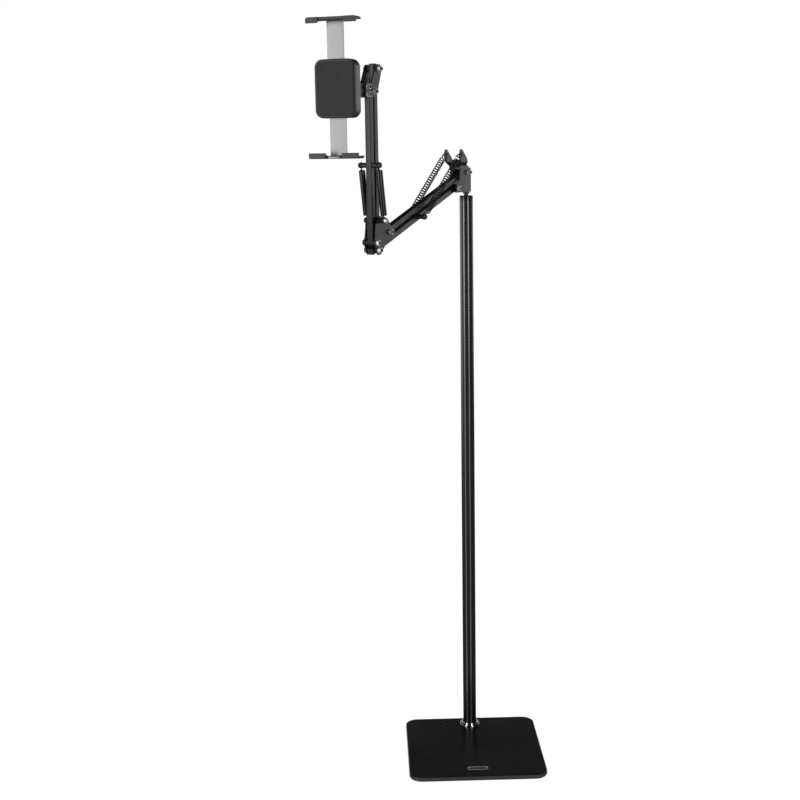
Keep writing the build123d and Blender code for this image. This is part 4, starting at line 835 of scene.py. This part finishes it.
# Head: two sheets on the upper arm's top, with a machined block bolted between them that
# holds the swivel pin's eye.
UPPER_LENGTH = 230.0
HEAD_FRONT = step(ELBOW_FRONT, 90.0, UPPER_LENGTH)
HEAD_REAR = step(ELBOW_REAR, 90.0, UPPER_LENGTH)
block_forward = HEAD_FRONT[0] + 18.0
block_bolted = ((block_forward, HEAD_FRONT[1] + 6.5), (block_forward, HEAD_FRONT[1] - 4.5))
head_bolted = (HEAD_FRONT, HEAD_REAR, *block_bolted)
eased("head_sheets", "head_plates", satin_black, 0.3, "head", "black_paint")
eased("head_block_milled", "head_block", satin_black, 0.3, "head", "black_paint")
bolts("head_bolt_set", "head_bolts", head_bolted, "head")
nuts("head_nut_set", "head_nuts", head_bolted, "head")
washers("head_washer_set", "head_washers", head_bolted, (HEAD_FRONT, HEAD_REAR), "head")

# Swivel yoke and its pin: a cast fork that turns on the head block, with a tongue in front
# for the tilt.
eased("swivel_yoke_cast", "swivel_yoke", satin_black, 0.5, "yoke", "black_paint")
eased("yoke_pin_turned", "yoke_pin", black_steel, 0.3, "yoke", "black_steel")

# Tilt block: a cast fork on the tongue, with the round disc and the shaft that the holder
# spins on. A bolt with a star knob clamps it, and a washer and a nut keep the holder.
eased("tilt_block_cast", "tilt_block", satin_black, 0.5, "tilt", "black_paint")
eased("tilt_bolt_turned", "tilt_bolt", black_steel, 0.3, "tilt", "black_steel")
cover("spin_washer", zinc)
cover("spin_nut", zinc)
eased("star_knob", "tilt_knob", moulded, 0.3, "knob", "plastic")

# Holder body: a moulded back shell and a front cover, screwed together, with a soft rubber
# face. It guides the jaws' rails, and two rolled spring bands inside pull the jaws in.
rubber = finish(
    "soft_rubber", (0.009, 0.009, 0.009), (0.016, 0.016, 0.016), roughness=0.7, spread=0.08,
    drift=80.0, grain=1300.0, relief=20.0,
)
eased("holder_shell", "holder_back", moulded, 0.6, "holder", "plastic", segments=3)
eased("holder_cover", "holder_front", moulded, 0.6, "holder", "plastic", segments=3)
eased("face_pad_moulded", "face_pad", rubber, 0.4, "holder", "rubber")
cover("grip_springs", zinc)
cover("grip_spring_pins", zinc)

# Jaws: moulded shelves with a lip in front, on flat steel rails that slide in the holder.
# Thin rubber pads line them, and a steel bar shows in the lower jaw's notch.
HEAD_TURN = math.radians(69.5)
FACING = Vector((-math.cos(HEAD_TURN), -math.sin(HEAD_TURN), 0.0))
JAW_CORNER = 3.4
NEAR = 0.1 * MM
PARALLEL = 0.999


def round_jaw(shape, out):
    """Rounds the two outermost corners of a jaw, which run from its back to its lip. Out is up or down."""
    aside = FACING.cross(out)
    ends = [vert.co.dot(aside) for vert in shape.verts]
    outside = max(vert.co.dot(out) for vert in shape.verts)
    corners = []
    for edge in shape.edges:
        start, end = (vert.co for vert in edge.verts)
        runs_forward = abs((end - start).normalized().dot(FACING)) > PARALLEL
        to_end = min(start.dot(aside) - min(ends), max(ends) - start.dot(aside))
        if runs_forward and to_end < NEAR and outside - start.dot(out) < NEAR:
            corners.append(edge)
    bmesh.ops.bevel(
        shape, geom=corners, offset=JAW_CORNER * MM, segments=5, profile=0.5, affect="EDGES", material=-1,
        clamp_overlap=True,
    )


def jaw(side, out):
    """A jaw with its rail, from its CAD nodes."""
    body = f"{side}_jaw_slide"
    eased(
        f"{side}_jaw_moulded", f"{side}_jaw", moulded, 0.5, body, "plastic",
        shaping=lambda shape: round_jaw(shape, out),
    )
    eased(f"{side}_rail_flat", f"{side}_rail", rail_steel, 0.2, body, "rail_steel")


rail_steel = finish(
    "rail_steel", (0.2, 0.2, 0.21), (0.25, 0.25, 0.26), roughness=0.34, spread=0.04,
    drift=90.0, grain=1500.0, relief=0.3, metal=1.0, stretch=(1.0, 1.0, 0.08),
)
jaw("upper", UP)
eased("upper_jaw_lining", "upper_jaw_pad", rubber, 0.3, "upper_jaw_slide", "rubber")
jaw("lower", -UP)
eased("lower_jaw_linings", "lower_jaw_pads", rubber, 0.3, "lower_jaw_slide", "rubber")
eased("jaw_bar_flat", "jaw_bar", rail_steel, 0.2, "lower_jaw_slide", "rail_steel")
